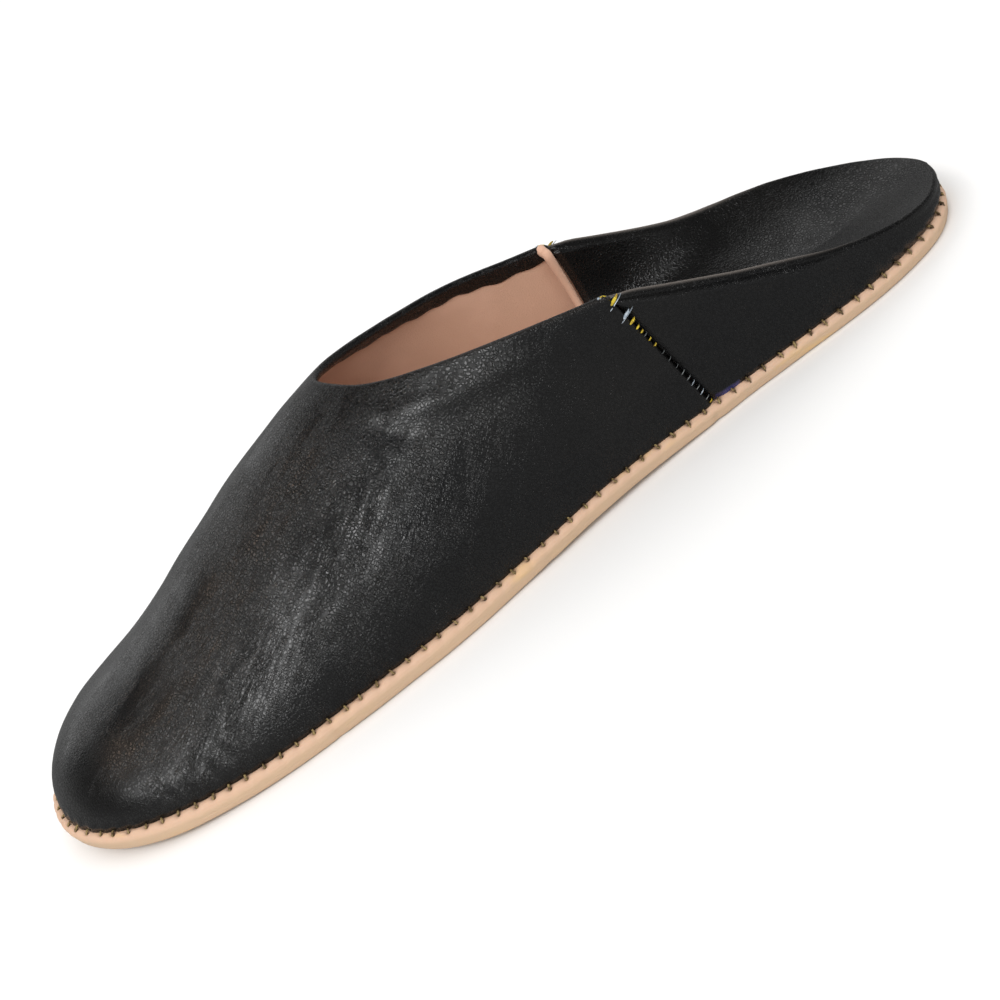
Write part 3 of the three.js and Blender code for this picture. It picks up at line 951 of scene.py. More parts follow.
@dataclass(frozen=True)
class NaturalLeather:
    """Undyed smooth leather of the lining and the insole."""

    name: str
    base: Colour
    shade: Colour
    grain_scale: float = 1700.0
    grain_depth: float = 0.00004
    rough_low: float = 0.62
    rough_high: float = 0.72
    speck_share: float = 0.25
    sheen: float = 0.1

    def material(self, effects: Effects) -> Material:
        """Makes the finish."""
        material, nodes, shader = new_material(self.name)
        place = nodes.place()
        wear = nodes.group(effects.wear, Vector=place)
        grain = nodes.group(effects.grain, Vector=place, Scale=self.grain_scale)
        colour = nodes.mix(wear.outputs["Broad"], self.base, self.shade)
        specks = nodes.math("MULTIPLY", wear.outputs["Specks"], self.speck_share)
        colour = nodes.mix(specks, colour, self.shade)
        rough = nodes.ramp(wear.outputs["Broad"], 0.0, 1.0, self.rough_low, self.rough_high)
        normal = nodes.bump(grain.outputs["Height"], self.grain_depth)
        nodes.feed(shader, Base_Color=colour, Roughness=rough, Normal=normal, Sheen_Weight=self.sheen)
        return material


@dataclass(frozen=True)
class SoleLeather:
    """Pale firm sole leather with a hand-cut edge, its side painted a shade darker than its lit lip."""

    name: str = "sole_leather"
    # Lit colour of the lip; the side colour below is a little darker as painted shade, and it also tints the
    # specks.
    lip: Colour = (0.61, 0.4, 0.275, 1)
    side: Colour = (0.58, 0.405, 0.265, 1)
    stain: Colour = (0.72, 0.47, 0.17, 1)
    # Dark brown painted shade for the stitch holes, where the thread goes into the sole.
    hole: Colour = (0.045, 0.022, 0.008, 1)
    stain_share: float = 0.6
    speck_share: float = 0.18
    cut_depth: float = 0.00018
    fibre_scale: float = 1500.0
    fibre_depth: float = 0.00004
    rough_low: float = 0.5
    rough_high: float = 0.66
    soft_share: float = 0.08
    soft_radius: Triple = (0.0016, 0.0009, 0.0005)

    def material(self, effects: Effects) -> Material:
        """Makes the finish."""
        material, nodes, shader = new_material(self.name)
        place = nodes.place()
        sheet = nodes.sheet()
        wear = nodes.group(effects.wear, Vector=place)
        # Painted shade: the side rows take the darker side colour, the lip rows the lit one.
        colour = nodes.mix(nodes.value_of("lip"), self.side, self.lip)
        clouds = nodes.noise(nodes.stretched(sheet, (0.035, 0.12, 1)), 1.0, 3.0)
        colour = nodes.mix(nodes.ramp(clouds, 0.55, 0.75, 0.0, self.stain_share), colour, self.stain)
        specks = nodes.math("MULTIPLY", wear.outputs["Specks"], self.speck_share)
        colour = nodes.mix(specks, colour, self.side)
        # Painted shade in the stitch holes.
        colour = nodes.mix(nodes.value_of("hole"), colour, self.hole)
        cuts = nodes.noise(nodes.stretched(sheet, (0.16, 2.2, 1), 0.03), 1.0, 4.0, 0.6)
        fibre = nodes.noise(place, self.fibre_scale, 2.0)
        normal = nodes.bump(fibre, self.fibre_depth, nodes.bump(cuts, self.cut_depth))
        rough = nodes.ramp(wear.outputs["Broad"], 0.0, 1.0, self.rough_low, self.rough_high)
        nodes.feed(shader, Base_Color=colour, Roughness=rough, Normal=normal)
        nodes.feed(shader, Subsurface_Weight=self.soft_share, Subsurface_Radius=self.soft_radius)
        return material


@dataclass(frozen=True)
class Thread:
    """Waxed or plain sewing thread of two twisted plies."""

    name: str
    base: Colour
    shade: Colour
    roughness: float
    twist_depth: float = 0.00012

    def material(self) -> Material:
        """Makes the finish."""
        material, nodes, shader = new_material(self.name)
        twist = nodes.add("ShaderNodeTexWave", wave_type="BANDS", bands_direction="DIAGONAL")
        plies = nodes.stretched(nodes.sheet(), (0.32, 1.3, 1))
        nodes.feed(twist, Vector=plies, Scale=1.0, Distortion=0.6)
        patch = nodes.ramp(nodes.noise(nodes.place(), 700.0, 2.0), 0.4, 0.62)
        colour = nodes.mix(patch, self.base, self.shade)
        normal = nodes.bump(twist.outputs["Fac"], self.twist_depth)
        nodes.feed(shader, Base_Color=colour, Normal=normal, Roughness=self.roughness)
        return material


@dataclass
class Stitching:
    """Places of the hand stitches around the sole."""

    pitch: float = 4.7
    wander: float = 0.35
    depth: Pair = (0.75, 1.15)
    pull_width: float = 1.3
    swell: float = 0.2
    dip: float = 0.5
    seed: int = 11

    def lay_out(self, last: Last) -> None:
        """Spaces the stitches along the feather line.

        Args:
            last: The form that gives the line.
        """
        self.signed = np.linspace(-1, 1, OUTLINE_SAMPLES)
        line = last.feather(np.where(np.abs(self.signed) < TINY, TINY, self.signed))
        self.lengths = running_length(line)
        count = round(self.lengths[-1] / self.pitch)
        spread = np.random.default_rng(self.seed)
        even = (np.arange(count) + 0.5) * self.lengths[-1] / count
        self.places = even + spread.uniform(-self.wander, self.wander, count)
        self.depths = spread.uniform(*self.depth, count)
        self.stations = np.interp(self.places, self.lengths, self.signed)

    def length_at(self, signed: Array) -> Array:
        """Length along the feather line at stations."""
        return np.interp(signed, self.signed, self.lengths)

    def pull(self, length: Array, width: float) -> Array:
        """How strongly the nearest stitch pulls, from 0 between stitches to about 1 at one."""
        index = np.clip(np.searchsorted(self.places, length), 1, len(self.places) - 1)
        left, right = length - self.places[index - 1], self.places[index] - length
        nearest = np.minimum(np.abs(left), np.abs(right))
        depth = np.where(np.abs(left) < np.abs(right), self.depths[index - 1], self.depths[index])
        return depth * bell(nearest, width)

    def pucker(self, signed: Array, up: Array, reach: float) -> Array:
        """Lift of a sheet between its stitches and dip at each of them.

        Args:
            signed: Station of each rib of the sheet.
            up: Height up the sheet by rib and row.
            reach: Height to which the pull is felt.

        Returns:
            Lift in millimetres by rib and row.
        """
        pull = self.pull(self.length_at(signed), self.pull_width)[:, None]
        return (self.swell - self.dip * pull) * bell(up, reach)


@dataclass
class Sole:
    """Pale leather sole with a rounded lip, cut by hand and dented by the stitches."""

    last: Last
    stitching: Stitching
    stations: int = 720
    side_rows: int = 18
    across: int = 6
    tuck: float = 7.0
    wave: float = 0.36
    dent: float = 0.8
    seed: int = 4
    ledge_rows: tuple[float, ...] = (0.05, 0.1, 0.15, 0.2, 0.26, 0.37, 0.64, 1.0)
    lip_at: float = 1.6
    pillow: float = 0.36
    dent_width: float = 0.85
    pinch: float = 0.25
    hole_shade_width: float = 0.5
    notch_width: float = 0.003
    notches: tuple[Pair, ...] = (
        (-0.372, 0.5),
        (-0.655, 0.35),
        (-0.5, 0.25),
        (0.42, 0.4),
        (0.6, 0.3),
    )

    def waver(self, length: Array) -> Array:
        """Slow hand-cut waver of the edge along its length."""
        spread = np.random.default_rng(self.seed)
        total = self.stitching.lengths[-1]
        waver = np.zeros_like(length)
        for turns in (9, 16, 23, 34):
            phase = spread.uniform(0, 2 * np.pi)
            waver += np.sin(2 * np.pi * turns * length / total + phase) * 4 / (turns + 6)
        return waver

    def side(self, signed: Array) -> tuple[Array, dict[str, Array]]:
        """Profile rows of the side at stations, from the floor to under the upper.

        Args:
            signed: Stations round the outline.

        Returns:
            Points by station and row, and the values that the finish reads.
        """
        rows = np.linspace(0, len(SOLE_SIDE) - 1, self.side_rows)
        inset, rise = (Curve(range(len(SOLE_SIDE)), column)(rows) for column in zip(*SOLE_SIDE))
        ledge = np.array(self.ledge_rows)
        inset = np.concatenate([inset, SOLE_SIDE[-1].inset + ledge * self.tuck])
        rise = np.concatenate([rise, np.ones(len(ledge))])
        length = self.stitching.length_at(signed)[:, None]
        pull = self.stitching.pull(length, self.dent_width)
        near_lip = bell(inset - self.lip_at, 1.0) * smooth_step(0.6, 0.95, rise)
        edge = smooth_step(1.9, 0.6, inset)
        cut = self.waver(length) * self.wave * edge * (1.25 - 0.5 * rise)
        for place, size in self.notches:
            notch = size * bell(signed[:, None] - place, self.notch_width)
            cut = cut + notch * edge * smooth_step(0.9, 0.2, rise)
        cut = cut + self.pinch * pull * edge * smooth_step(0.5, 0.95, rise)
        plan = self.last.inset(np.repeat(signed[:, None], len(rise), 1), inset + cut)
        y = plan[..., 1]
        pillow = (self.pillow - self.dent * pull) * near_lip
        height = self.last.sole_rise(y) + rise * self.last.sole_thickness(y) + pillow
        points = np.concatenate([plan, height[..., None]], -1)
        # Mask of the top rows, which take the lit lip colour; the rows below take the side's painted shade.
        lip = smooth_step(0.55, 0.9, rise)[None] * np.ones_like(length)
        ledge_at = self.last.ledge(np.abs(signed))[:, None]
        # Painted shade: a dark spot at each stitch hole, just outside the feather line on the top of the
        # sole.
        hole = bell(inset - ledge_at + 0.6, self.hole_shade_width) * self.stitching.pull(length, self.hole_shade_width)
        hole = np.clip(hole * 1.3, 0, 1) * (rise > 0.9)
        u, v = np.broadcast_arrays(length, running_length(np.column_stack([inset, rise * 5])))
        return self.last.place(points), {"lip": lip, "hole": hole, "u": u, "v": v}

    def build(self, material: Material) -> Piece:
        """Models the sole as closed sections from heel to toe."""
        station = np.linspace(0, 1, self.stations + 1)
        station[0], station[-1] = TINY, 1 - TINY
        outer, outer_values = self.side(station)
        inner, inner_values = self.side(-station)
        share = np.linspace(0, 1, self.across + 1)[1:-1, None, None]
        top = (outer[None, :, -1] * (1 - share) + inner[None, :, -1] * share).transpose(1, 0, 2)
        bottom = (inner[None, :, 0] * (1 - share) + outer[None, :, 0] * share).transpose(1, 0, 2)
        for flat, lifted in ((top, 1.0), (bottom, 0.0)):
            y = flat[..., 1] - self.last.shift[1]
            flat[..., 2] = self.last.sole_rise(y) + lifted * self.last.sole_thickness(y)
        points = np.concatenate([outer, top, inner[:, ::-1], bottom, outer[:, :1]], 1)
        values = {}
        for name in ("lip", "hole", "u", "v"):
            plain = np.zeros(top.shape[:2])
            parts = [outer_values[name], plain, inner_values[name][:, ::-1], plain, outer_values[name][:, :1]]
            values[name] = np.concatenate(parts, 1)
        uv = np.stack([values.pop("u"), values.pop("v")], -1)
        mesh = bmesh.new()
        Sheet(points, values, uv, closed=True).into(mesh)
        bmesh.ops.recalc_face_normals(mesh, faces=mesh.faces)
        return seat(mesh_object("sole", mesh, material), "sole_leather", "outsole")

    def sew(self, material: Material) -> Piece:
        """Lays a short waxed stitch over the edge of the upper at each place."""
        spread = np.random.default_rng(self.seed + 1)
        mesh = bmesh.new()
        signed = self.stitching.stations
        foot = self.last.feather(signed)
        normal = self.last.outline_normal(signed)
        for place, out in zip(foot, normal):
            base = self.last.base(place[1])
            lean = np.array([-out[1], out[0]]) * spread.uniform(-0.35, 0.35)
            reach, height = spread.uniform(0.8, 1.1), spread.uniform(0.1, 0.3)
            steps = np.array([-0.6, -0.1, 0.35, reach, reach])[:, None]
            drifts = np.array([-1.0, -0.5, 0.0, 0.6, 0.9])[:, None]
            rises = np.array([height, height, 0.1, -0.35, -1.1])
            path = np.column_stack([place + out * steps + lean * drifts, base + rises])
            radii = spread.uniform(0.24, 0.33) * np.array([0.8, 1.0, 1.1, 1.0, 0.7])
            tube_sheet(self.last.place(path), radii, 6).into(mesh)
        return seat(mesh_object("sole_stitches", mesh, material), "sole_leather")


@dataclass
class Vamp:
    """Front of the upper: a folded black leather sheet and its lining."""

    last: Last
    stitching: Stitching
    ribs: int = 225
    rows: int = 80
    leather: float = 0.8
    fold: float = 1.15
    hem: float = 3.4
    hem_waves: tuple[Triple, ...] = ((0.3, 3.1, 0.0), (0.25, 7.7, 1.0))
    lining_depth: float = 1.65
    lining_wall: float = 0.6
    lining_lift: float = 0.4
    tongue: float = 2.4
    tongue_at: float = 0.92
    tongue_width: float = 0.13
    wrinkle_squeeze: Triple = (0.8, 2.4, 0.8)
    seam_reach: float = 0.35
    pucker_reach: float = 2.2
    edge_lightening: float = 0.1

    def paths(self) -> list[Array]:
        """Dense ribs from the inner side seam round the toe to the outer side seam."""
        inner = self.last.vamp_paths(Side.INNER, self.ribs)
        outer = self.last.vamp_paths(Side.OUTER, self.ribs)
        return [*inner, *outer[-2::-1]]

    def draw_on(self, path: Array, index: int) -> Array:
        """Draws the edge on a little at the inner front of the throat, where it stands highest."""
        reach = self.tongue * float(bell(index / self.ribs - self.tongue_at, self.tongue_width))
        return np.vstack([path, path[-1] + unit(path[-1] - path[-6]) * max(reach, 0.001)])

    def form(self) -> None:
        """Works out the smooth outer face, up to where the edge folds in."""
        paths = [self.draw_on(path, index) for index, path in enumerate(self.paths())]
        lengths = np.array([running_length(path)[-1] for path in paths])
        ends = 1 - self.fold / lengths
        share = np.linspace(0, 1, self.rows + 1)
        self.outer = np.stack([resample(path, end * share) for path, end in zip(paths, ends)])
        self.normals = -grid_normals(self.outer)
        self.around = running_length(self.outer[:, 0])
        self.up = (lengths * ends)[:, None] * share

    def relief(self) -> Array:
        """Listed creases, slow swells and the pull of seams and stitches, in millimetres."""
        lift = sum(crease.relief(self.outer) for crease in VAMP_CREASES)
        lift = lift + sum(swell.lift(self.outer) for swell in VAMP_SWELLS)
        self.wrinkle = np.clip(sum(patch.mask(self.outer) for patch in WRINKLED), 0, 1)
        lift = lift + self.wrinkle * WRINKLE_SWELL.lift(self.outer * np.array(self.wrinkle_squeeze))
        to_seam = np.minimum(self.around, self.around[-1] - self.around)[:, None]
        lift = lift + sum(bump.lift(to_seam) for bump in SEAM_BUMPS)
        y = self.outer[:, 0, 1] - self.last.shift[1]
        signed = self.last.signed_station(y, np.arange(len(y)) <= self.ribs)
        return lift + self.stitching.pucker(signed, self.up, self.pucker_reach)

    def build(self, material: Material) -> Piece:
        """Models the black sheet with its folded top edge and hem."""
        self.form()
        self.lift = self.relief()
        face = self.outer + self.normals * self.lift[..., None]
        for rib, beside in ((0, 1), (-1, -2)):
            face[rib] += self.seam_reach * unit(face[rib] - face[beside])
        normal = -grid_normals(face)
        rise = unit(face[:, -1] - face[:, -2])
        out = unit(normal[:, -1] - rise * (normal[:, -1] * rise).sum(-1, keepdims=True))
        centre = face[:, -1] - out * self.fold
        self.edge = centre + self.fold * (0.6 * out + 0.8 * rise)
        turns = np.linspace(0, np.pi, 11)[1:]
        roll = [centre + self.fold * (out * math.cos(turn) + rise * math.sin(turn)) for turn in turns]
        waver = sum(size * np.sin(self.around / wave + turn) for size, wave, turn in self.hem_waves)
        drop = (self.hem + waver)[:, None]
        hem = [roll[-1] - rise * drop * share for share in np.linspace(0, 1, 5)[1:]]
        extra = len(roll) + len(hem)
        points = np.concatenate([face, np.stack([*roll, *hem], 1)], 1)
        wrinkle = np.concatenate([self.wrinkle, np.zeros((len(face), extra))], 1)
        up = np.concatenate([self.up, self.up[:, -1:] + np.linspace(0.4, 7.5, extra)[None]], 1)
        uv = np.stack([np.repeat(self.around[:, None], up.shape[1], 1), up], -1)
        # Colour lightened a little on the fold of the throat edge.
        lighter_edge = self.edge_lightening * bell(up - self.up[:, -1:] - 1.0, 0.6)
        values = {"wrinkle": wrinkle, "lighter_edge": lighter_edge, "ink": np.zeros_like(up)}
        made = Sheet(points, values, uv, turned=True).piece("vamp", material, self.leather)
        return seat(made, "upper_leather", "upper")

    def line(self, material: Material) -> Piece:
        """Models the natural leather lining behind the black sheet."""
        every, step = slice(2, -2, 2), slice(None, None, 2)
        outer, normal = self.outer[every, step], self.normals[every, step]
        swell = LINING_SWELL.lift(outer) - np.minimum(self.lift[every, step], 0)
        points = outer - normal * (self.lining_depth + swell)[..., None]
        points[:, 0, 2] += self.lining_lift
        around = np.repeat(self.around[every, None], outer.shape[1], 1)
        uv = np.stack([around, self.up[every, step]], -1)
        made = Sheet(points, {}, uv).piece("lining", material, self.lining_wall)
        return seat(made, "lining_leather", "upper")


@dataclass
class HeelQuarter:
    """Back of the upper: up the heel wall, over the rim and down onto the heel seat."""

    last: Last
    stitching: Stitching
    ribs: int = 84
    wall_rows: int = 26
    roll_rows: int = 22
    bowl_rows: int = 54
    leather: float = 1.1
    wall: float = 1.4
    roll: float = 2.05
    bulge: float = 0.9
    insole: float = 1.0
    seat_front: float = 0.35
    seat_rear: float = 0.1
    seat_fan: float = 0.3
    bowl_front: float = 3.2
    bowl_back: float = 2.2
    dish_knee: Triple = (0.36, 0.36, 0.84)
    crisp_span: Pair = (0.3, 0.62)
    seam_dip: float = 1.1
    pucker_reach: float = 2.0
    lighter_span: Pair = (0.3, 0.7)
    lighter_width: float = 0.38
    ink_share: float = 0.8
    ink_from: Pair = (0.9, 0.92)
    ink_to: Pair = (0.985, 0.975)
    ink_height: float = 0.5
    ear_top: float = 1.5
    ear_foot: float = 0.8
    ear_ahead: float = 1.9
    ear_stands: Pair = (-1.5, 0.5)
    ear_reach: float = 0.62

    @property
    def crest_row(self) -> int:
        """Row of a rib at the crest of the rim."""
        return self.wall_rows + self.roll_rows // 2

    def rim_value(self, column: str, along: float) -> float:
        """Value of a column of the rim's table at a share of the length."""
        return float(Curve([row.foot for row in RIM], [getattr(row, column) for row in RIM])(along))

    def rib(self, side: Side, reach: float) -> tuple[Array, float]:
        """One rib of the quarter.

        Args:
            side: Side of the foot.
            reach: Share of the way from the back of the heel to the side seam.

        Returns:
            Points of the rib, and how far forward it stands, from 0 to 1.
        """
        last = self.last
        sign = side.value
        station = max(float(last.station_at(side, last.y_of(last.seam_foot))) * reach, TINY)
        foot = last.feather(np.array(sign * station))
        foot_along = foot[1] / last.length + 0.5
        inner = side is Side.INNER
        height = self.rim_value("inner" if inner else "outer", foot_along)
        flare = self.rim_value("flare_inner" if inner else "flare_outer", foot_along)
        head_y = foot[1] + max(self.rim_value("ahead", foot_along), 0.0)
        head_station = np.array(sign * last.station_at(side, head_y))
        head = last.feather(head_station, flare)
        normal = last.outline_normal(head_station)
        ahead = foot_along / last.seam_foot
        forward = float(smooth_step(0, 1, ahead))
        seam = last.seam_groove / 2 * float(smooth_step(0.9, 1, ahead))
        seat_share = max((reach * reach - self.seat_fan) / (1 - self.seat_fan), 0.0)
        seat_y = last.y_of(self.seat_rear + (self.seat_front - self.seat_rear) * seat_share)
        seat_x = (last.feather_x(Side.INNER, seat_y) + last.feather_x(Side.OUTER, seat_y)) / 2
        rest = np.array([seat_x, seat_y])
        inward = unit(unit(rest - head) * (1 - forward) + np.array([-sign, 0.0]) * forward)
        base = float(last.base(foot[1]))
        rim = base + height - self.roll
        share = np.linspace(0, 1, self.wall_rows + 1)[:-1]
        z = base + (rim - base) * share
        swell = self.bulge * np.sin(np.pi * share) * (1 - forward)
        plan = foot + (head - foot) * ((z - base) / height)[:, None] + normal * swell[:, None]
        wall = np.column_stack([plan[:, 0], plan[:, 1] - seam, z])
        turn = np.pi * np.linspace(0, 1, self.roll_rows + 1)[:-1]
        z = rim + self.roll * np.sin(turn)
        lean = np.where(turn < np.pi / 2, (z - base) / height, 1.0)
        plan = foot + (head - foot) * lean[:, None] + inward * (self.roll * (1 - np.cos(turn)))[:, None]
        roll = np.column_stack([plan[:, 0], plan[:, 1] - seam, z])
        start = head + inward * 2 * self.roll
        floor = float(last.base(seat_y)) + self.insole + last.clearance + self.wall
        power = 2 / (self.bowl_back + (self.bowl_front - self.bowl_back) * forward)
        turn = np.linspace(0, np.pi / 2, 160)
        across = 1 - np.maximum(np.cos(turn), 0) ** power
        down = np.sin(turn) ** power
        sway = across + (np.sin(np.pi / 2 * across) - across) * forward
        bowl = np.column_stack([
            start[0] + (rest[0] - start[0]) * across,
            start[1] - seam + (rest[1] - start[1] + seam) * sway,
            rim + (floor - rim) * down,
        ])
        bowl = resample(bowl, np.linspace(0, 1, self.bowl_rows + 1))
        rib = np.vstack([wall, roll, bowl])
        inside = rib[self.crest_row :]
        inside += (self.dish(inside) - inside) * float(smooth_step(0.95, 0.55, ahead))
        return rib, ahead

    def dish(self, inside: Array) -> Array:
        """Even slope from the crest of the rim down to the heel seat, on the rows of a rib.

        Args:
            inside: Points of the rib from its crest to the seat.

        Returns:
            The points of the slope, spaced as those of the rib.
        """
        crest, rest = inside[0], inside[-1]
        knee = crest + (rest - crest) * np.array(self.dish_knee)
        share = np.linspace(0, 1, 80)[:, None]
        path = (1 - share) ** 2 * crest + 2 * share * (1 - share) * knee + share**2 * rest
        lengths = running_length(inside)
        return resample(path, lengths / lengths[-1])

    def relief(self, points: Array, forward: Array) -> tuple[Array, Array, Array]:
        """Folds, slow swells, the crest of the rim and the pull of the side seams.

        Args:
            points: Points by rib and row.
            forward: How far forward each rib stands, from 0 to 1.

        Returns:
            Lift in millimetres, length from the foot, and length from the crest.
        """
        up = np.stack([running_length(rib) for rib in points])
        crest = up - up[:, self.crest_row, None]
        crisp = smooth_step(*self.crisp_span, forward)[:, None]
        lift = sum(crease.relief(points) for crease in HEEL_CREASES)
        lift = lift + sum(swell.lift(points) for swell in HEEL_SWELLS)
        lift = lift + crisp * sum(bump.lift(crest) for bump in CREST_BUMPS)
        lift = lift + (1 - crisp) * BACK_BUMP.lift(crest)
        seam = smooth_step(0.9, 1.0, forward)[:, None]
        lift = lift - self.seam_dip * seam**3 * (crest < 3)
        return lift, up, crest

    def build(self, material: Material) -> Piece:
        """Models the folded quarter as one sheet."""
        ribs, forward = [], []
        for index in range(-self.ribs, self.ribs + 1):
            side = Side.INNER if index < 0 else Side.OUTER
            rib, ahead = self.rib(side, abs(index) / self.ribs)
            ribs.append(rib)
            forward.append(ahead)
        points = self.last.place(np.stack(ribs))
        forward = np.array(forward)
        normal = grid_normals(points)
        lift, up, crest = self.relief(points, forward)
        still = smooth_step(0, 2.5, np.abs(up - up[:, -1:]))
        face = points + normal * (lift * still)[..., None]
        feet = points[:, 0, :2] - self.last.shift[:2]
        around = running_length(feet)
        around = around - around[self.ribs]
        signed = self.last.signed_station(feet[:, 1], around < 0)
        face = face + normal * self.stitching.pucker(signed, up, self.pucker_reach)[..., None]
        # Thin lighter line along the crest of the rim, strongest towards the side seams.
        lighter_edge = smooth_step(*self.lighter_span, forward)[:, None] * bell(crest, self.lighter_width)
        inked = smooth_step(*self.ink_from, forward) * smooth_step(*self.ink_to, forward)
        ink = self.ink_share * ((around < 0) * inked)[:, None] * bell(up, self.ink_height)
        wrinkle = 0.15 * smooth_step(0, 6, up) - 0.55 * smooth_step(0, 3, crest)
        uv = np.stack([np.repeat(around[:, None], up.shape[1], 1), up], -1)
        values = {"wrinkle": wrinkle, "lighter_edge": lighter_edge, "ink": ink}
        made = Sheet(face, values, uv, closed=True).piece("heel_quarter", material, self.leather)
        self.front = [face[rib, self.crest_row - 2 :] for rib in (0, -1)]
        return seat(made, "upper_leather", "upper")

    def turn_edges(self, material: Material) -> Piece:
        """Models the soft turned edge of the lining that runs down inside each side seam."""
        mesh = bmesh.new()
        share = np.linspace(0, 1, 44)
        for side, line, stand in zip(Side, self.front, self.ear_stands):
            drop = np.linspace(0, 1, len(line))[:, None]
            head = np.array([0.0, self.ear_ahead, stand])
            foot = np.array([-side.value * 0.5, 1.2, 0.6])
            path = resample(line + head * (1 - drop) + foot * drop, self.ear_reach * share)
            radii = self.ear_top + (self.ear_foot - self.ear_top) * share**0.6
            tip = np.minimum(1, (share * 30 + 0.02) ** 0.5)
            tube_sheet(path, radii * tip, 14).into(mesh)
        return seat(mesh_object("lining_edges", mesh, material), "lining_leather")


class Spool(Enum):
    """Threads of the side seams."""

    YELLOW = Thread("yellow_thread", (0.66, 0.5, 0.03, 1), (0.42, 0.28, 0.02, 1), 0.5)
    PALE = Thread("pale_thread", (0.52, 0.58, 0.64, 1), (0.3, 0.36, 0.42, 1), 0.5)
    GREY = Thread("grey_thread", (0.27, 0.29, 0.29, 1), (0.12, 0.13, 0.13, 1), 0.55)


class SeamStitch(NamedTuple):
    """Stitch over a side seam: share of the way down, reach to toe and heel, slant, radius, thread."""

    down: float
    ahead: float
    behind: float
    slant: float
    radius: float
    spool: Spool


SEAM_STITCHES = tuple(SeamStitch(*row) for row in (
    (0.025, 1.7, 1.8, 0.9, 0.42, Spool.YELLOW),
    (0.045, 3.0, 2.6, 1.2, 0.17, Spool.PALE),
    (0.145, 1.7, 1.3, 0.6, 0.4, Spool.PALE),
    (0.155, 2.9, 2.6, 0.9, 0.15, Spool.PALE),
    (0.205, 1.3, 0.9, 0.4, 0.36, Spool.YELLOW),
    (0.258, 0.9, 0.4, 0.3, 0.28, Spool.YELLOW),
    (0.298, 0.7, 0.3, 0.2, 0.24, Spool.YELLOW),
    (0.33, 0.8, 0.6, 0.4, 0.1, Spool.GREY),
    (0.372, 0.6, 0.4, 0.3, 0.2, Spool.YELLOW),
    (0.425, 0.6, 0.3, 0.2, 0.22, Spool.YELLOW),
    (0.5, 0.7, 0.5, 0.2, 0.09, Spool.GREY),
    (0.565, 0.9, 0.6, 0.5, 0.11, Spool.GREY),
    (0.635, 0.7, 0.5, 0.3, 0.09, Spool.GREY),
    (0.695, 1.0, 0.7, 0.5, 0.12, Spool.GREY),
    (0.75, 0.9, 0.8, 0.3, 0.12, Spool.GREY),
    (0.796, 1.0, 0.7, 0.5, 0.12, Spool.PALE),
    (0.843, 0.8, 0.7, 0.3, 0.12, Spool.GREY),
    (0.886, 1.1, 0.8, 0.5, 0.13, Spool.PALE),
    (0.94, 1.0, 0.7, 0.3, 0.12, Spool.GREY),
    (0.975, 0.6, 0.4, 0.2, 0.18, Spool.YELLOW),
))


EDGE_STITCHES = {Spool.YELLOW: ((0.5, 2.9, 0.36),), Spool.PALE: ((2.5, 5.6, 0.32),)}
LINING_STITCHES = {
    Spool.YELLOW: ((0, 1.2, 3.4, 0.4),),
    Spool.GREY: ((3, 0.9, 2.6, 0.2), (7, 0.8, 2.3, 0.18)),
}


@dataclass
class SideSeams:
    """Hand stitches that close vamp and heel quarter at both sides."""

    vamp: Vamp
    lining_depth: float = 2.6

    def bundle(self, ends: Array, out: Array, radius: float, mesh: Mesh) -> None:
        """Adds a swelling bundle of thread that dips under the leather at both ends.

        Args:
            ends: Start and end on the leather.
            out: Direction away from the leather.
            radius: Radius in the middle.
            mesh: Mesh that takes the thread.
        """
        share = np.linspace(0, 1, 11)[:, None]
        arch = np.sin(np.pi * share)
        path = ends[0] + (ends[1] - ends[0]) * share + out * (0.7 * np.minimum(arch, 0.6) - 0.3)
        tube_sheet(path, radius * (0.35 + 0.65 * arch[:, 0]), 8).into(mesh)

    def over_seam(self, rib: int, stitch: SeamStitch, mesh: Mesh) -> None:
        """Lays one stitch across the seam at a rib of the vamp."""
        row = (1 - stitch.down) * self.vamp.rows
        low = min(int(row), self.vamp.rows - 1)
        near, far = self.vamp.outer[rib], self.vamp.outer[4 if rib == 0 else -5]
        place = near[low] + (near[low + 1] - near[low]) * (row - low)
        down = unit(near[low] - near[low + 1])
        ahead = far[low] - near[low]
        ahead = unit(ahead - down * (ahead @ down))
        out = self.vamp.normals[3 if rib == 0 else -4, low]
        skew = down * stitch.slant / 2
        ends = np.array([place + ahead * stitch.ahead + skew, place - ahead * stitch.behind - skew])
        self.bundle(ends, out, stitch.radius, mesh)

    def along_edge(self, rib: int, spool: Spool, mesh: Mesh) -> None:
        """Lays thread along the throat edge ahead of the seam, and on the turned lining inside."""
        order = 1 if rib == 0 else -1
        edge = self.vamp.edge[rib : rib + 8 * order : order]
        out = unit(self.vamp.edge[rib] - self.vamp.outer[rib, -1])
        for first, second, radius in EDGE_STITCHES.get(spool, ()):
            ends = resample(edge, np.array([first, second]) / running_length(edge)[-1])
            self.bundle(ends, out, radius, mesh)
        normal, line = self.vamp.normals[rib], self.vamp.outer[rib]
        ahead = unit(self.vamp.outer[rib + 4 * order, -1] - line[-1])
        for row, first, second, radius in LINING_STITCHES.get(spool, ()):
            place = line[-1 - row] - normal[-1 - row] * self.lining_depth
            ends = np.array([place + ahead * first, place + ahead * second])
            self.bundle(ends, -normal[-1 - row], radius, mesh)

    def build(self) -> None:
        """Sews both seams, one joined piece for each thread."""
        for spool in Spool:
            mesh = bmesh.new()
            for rib in (0, -1):
                for stitch in SEAM_STITCHES:
                    if stitch.spool is spool:
                        self.over_seam(rib, stitch, mesh)
                self.along_edge(rib, spool, mesh)
            seat(mesh_object(spool.value.name, mesh, spool.value.material()), "upper_leather")


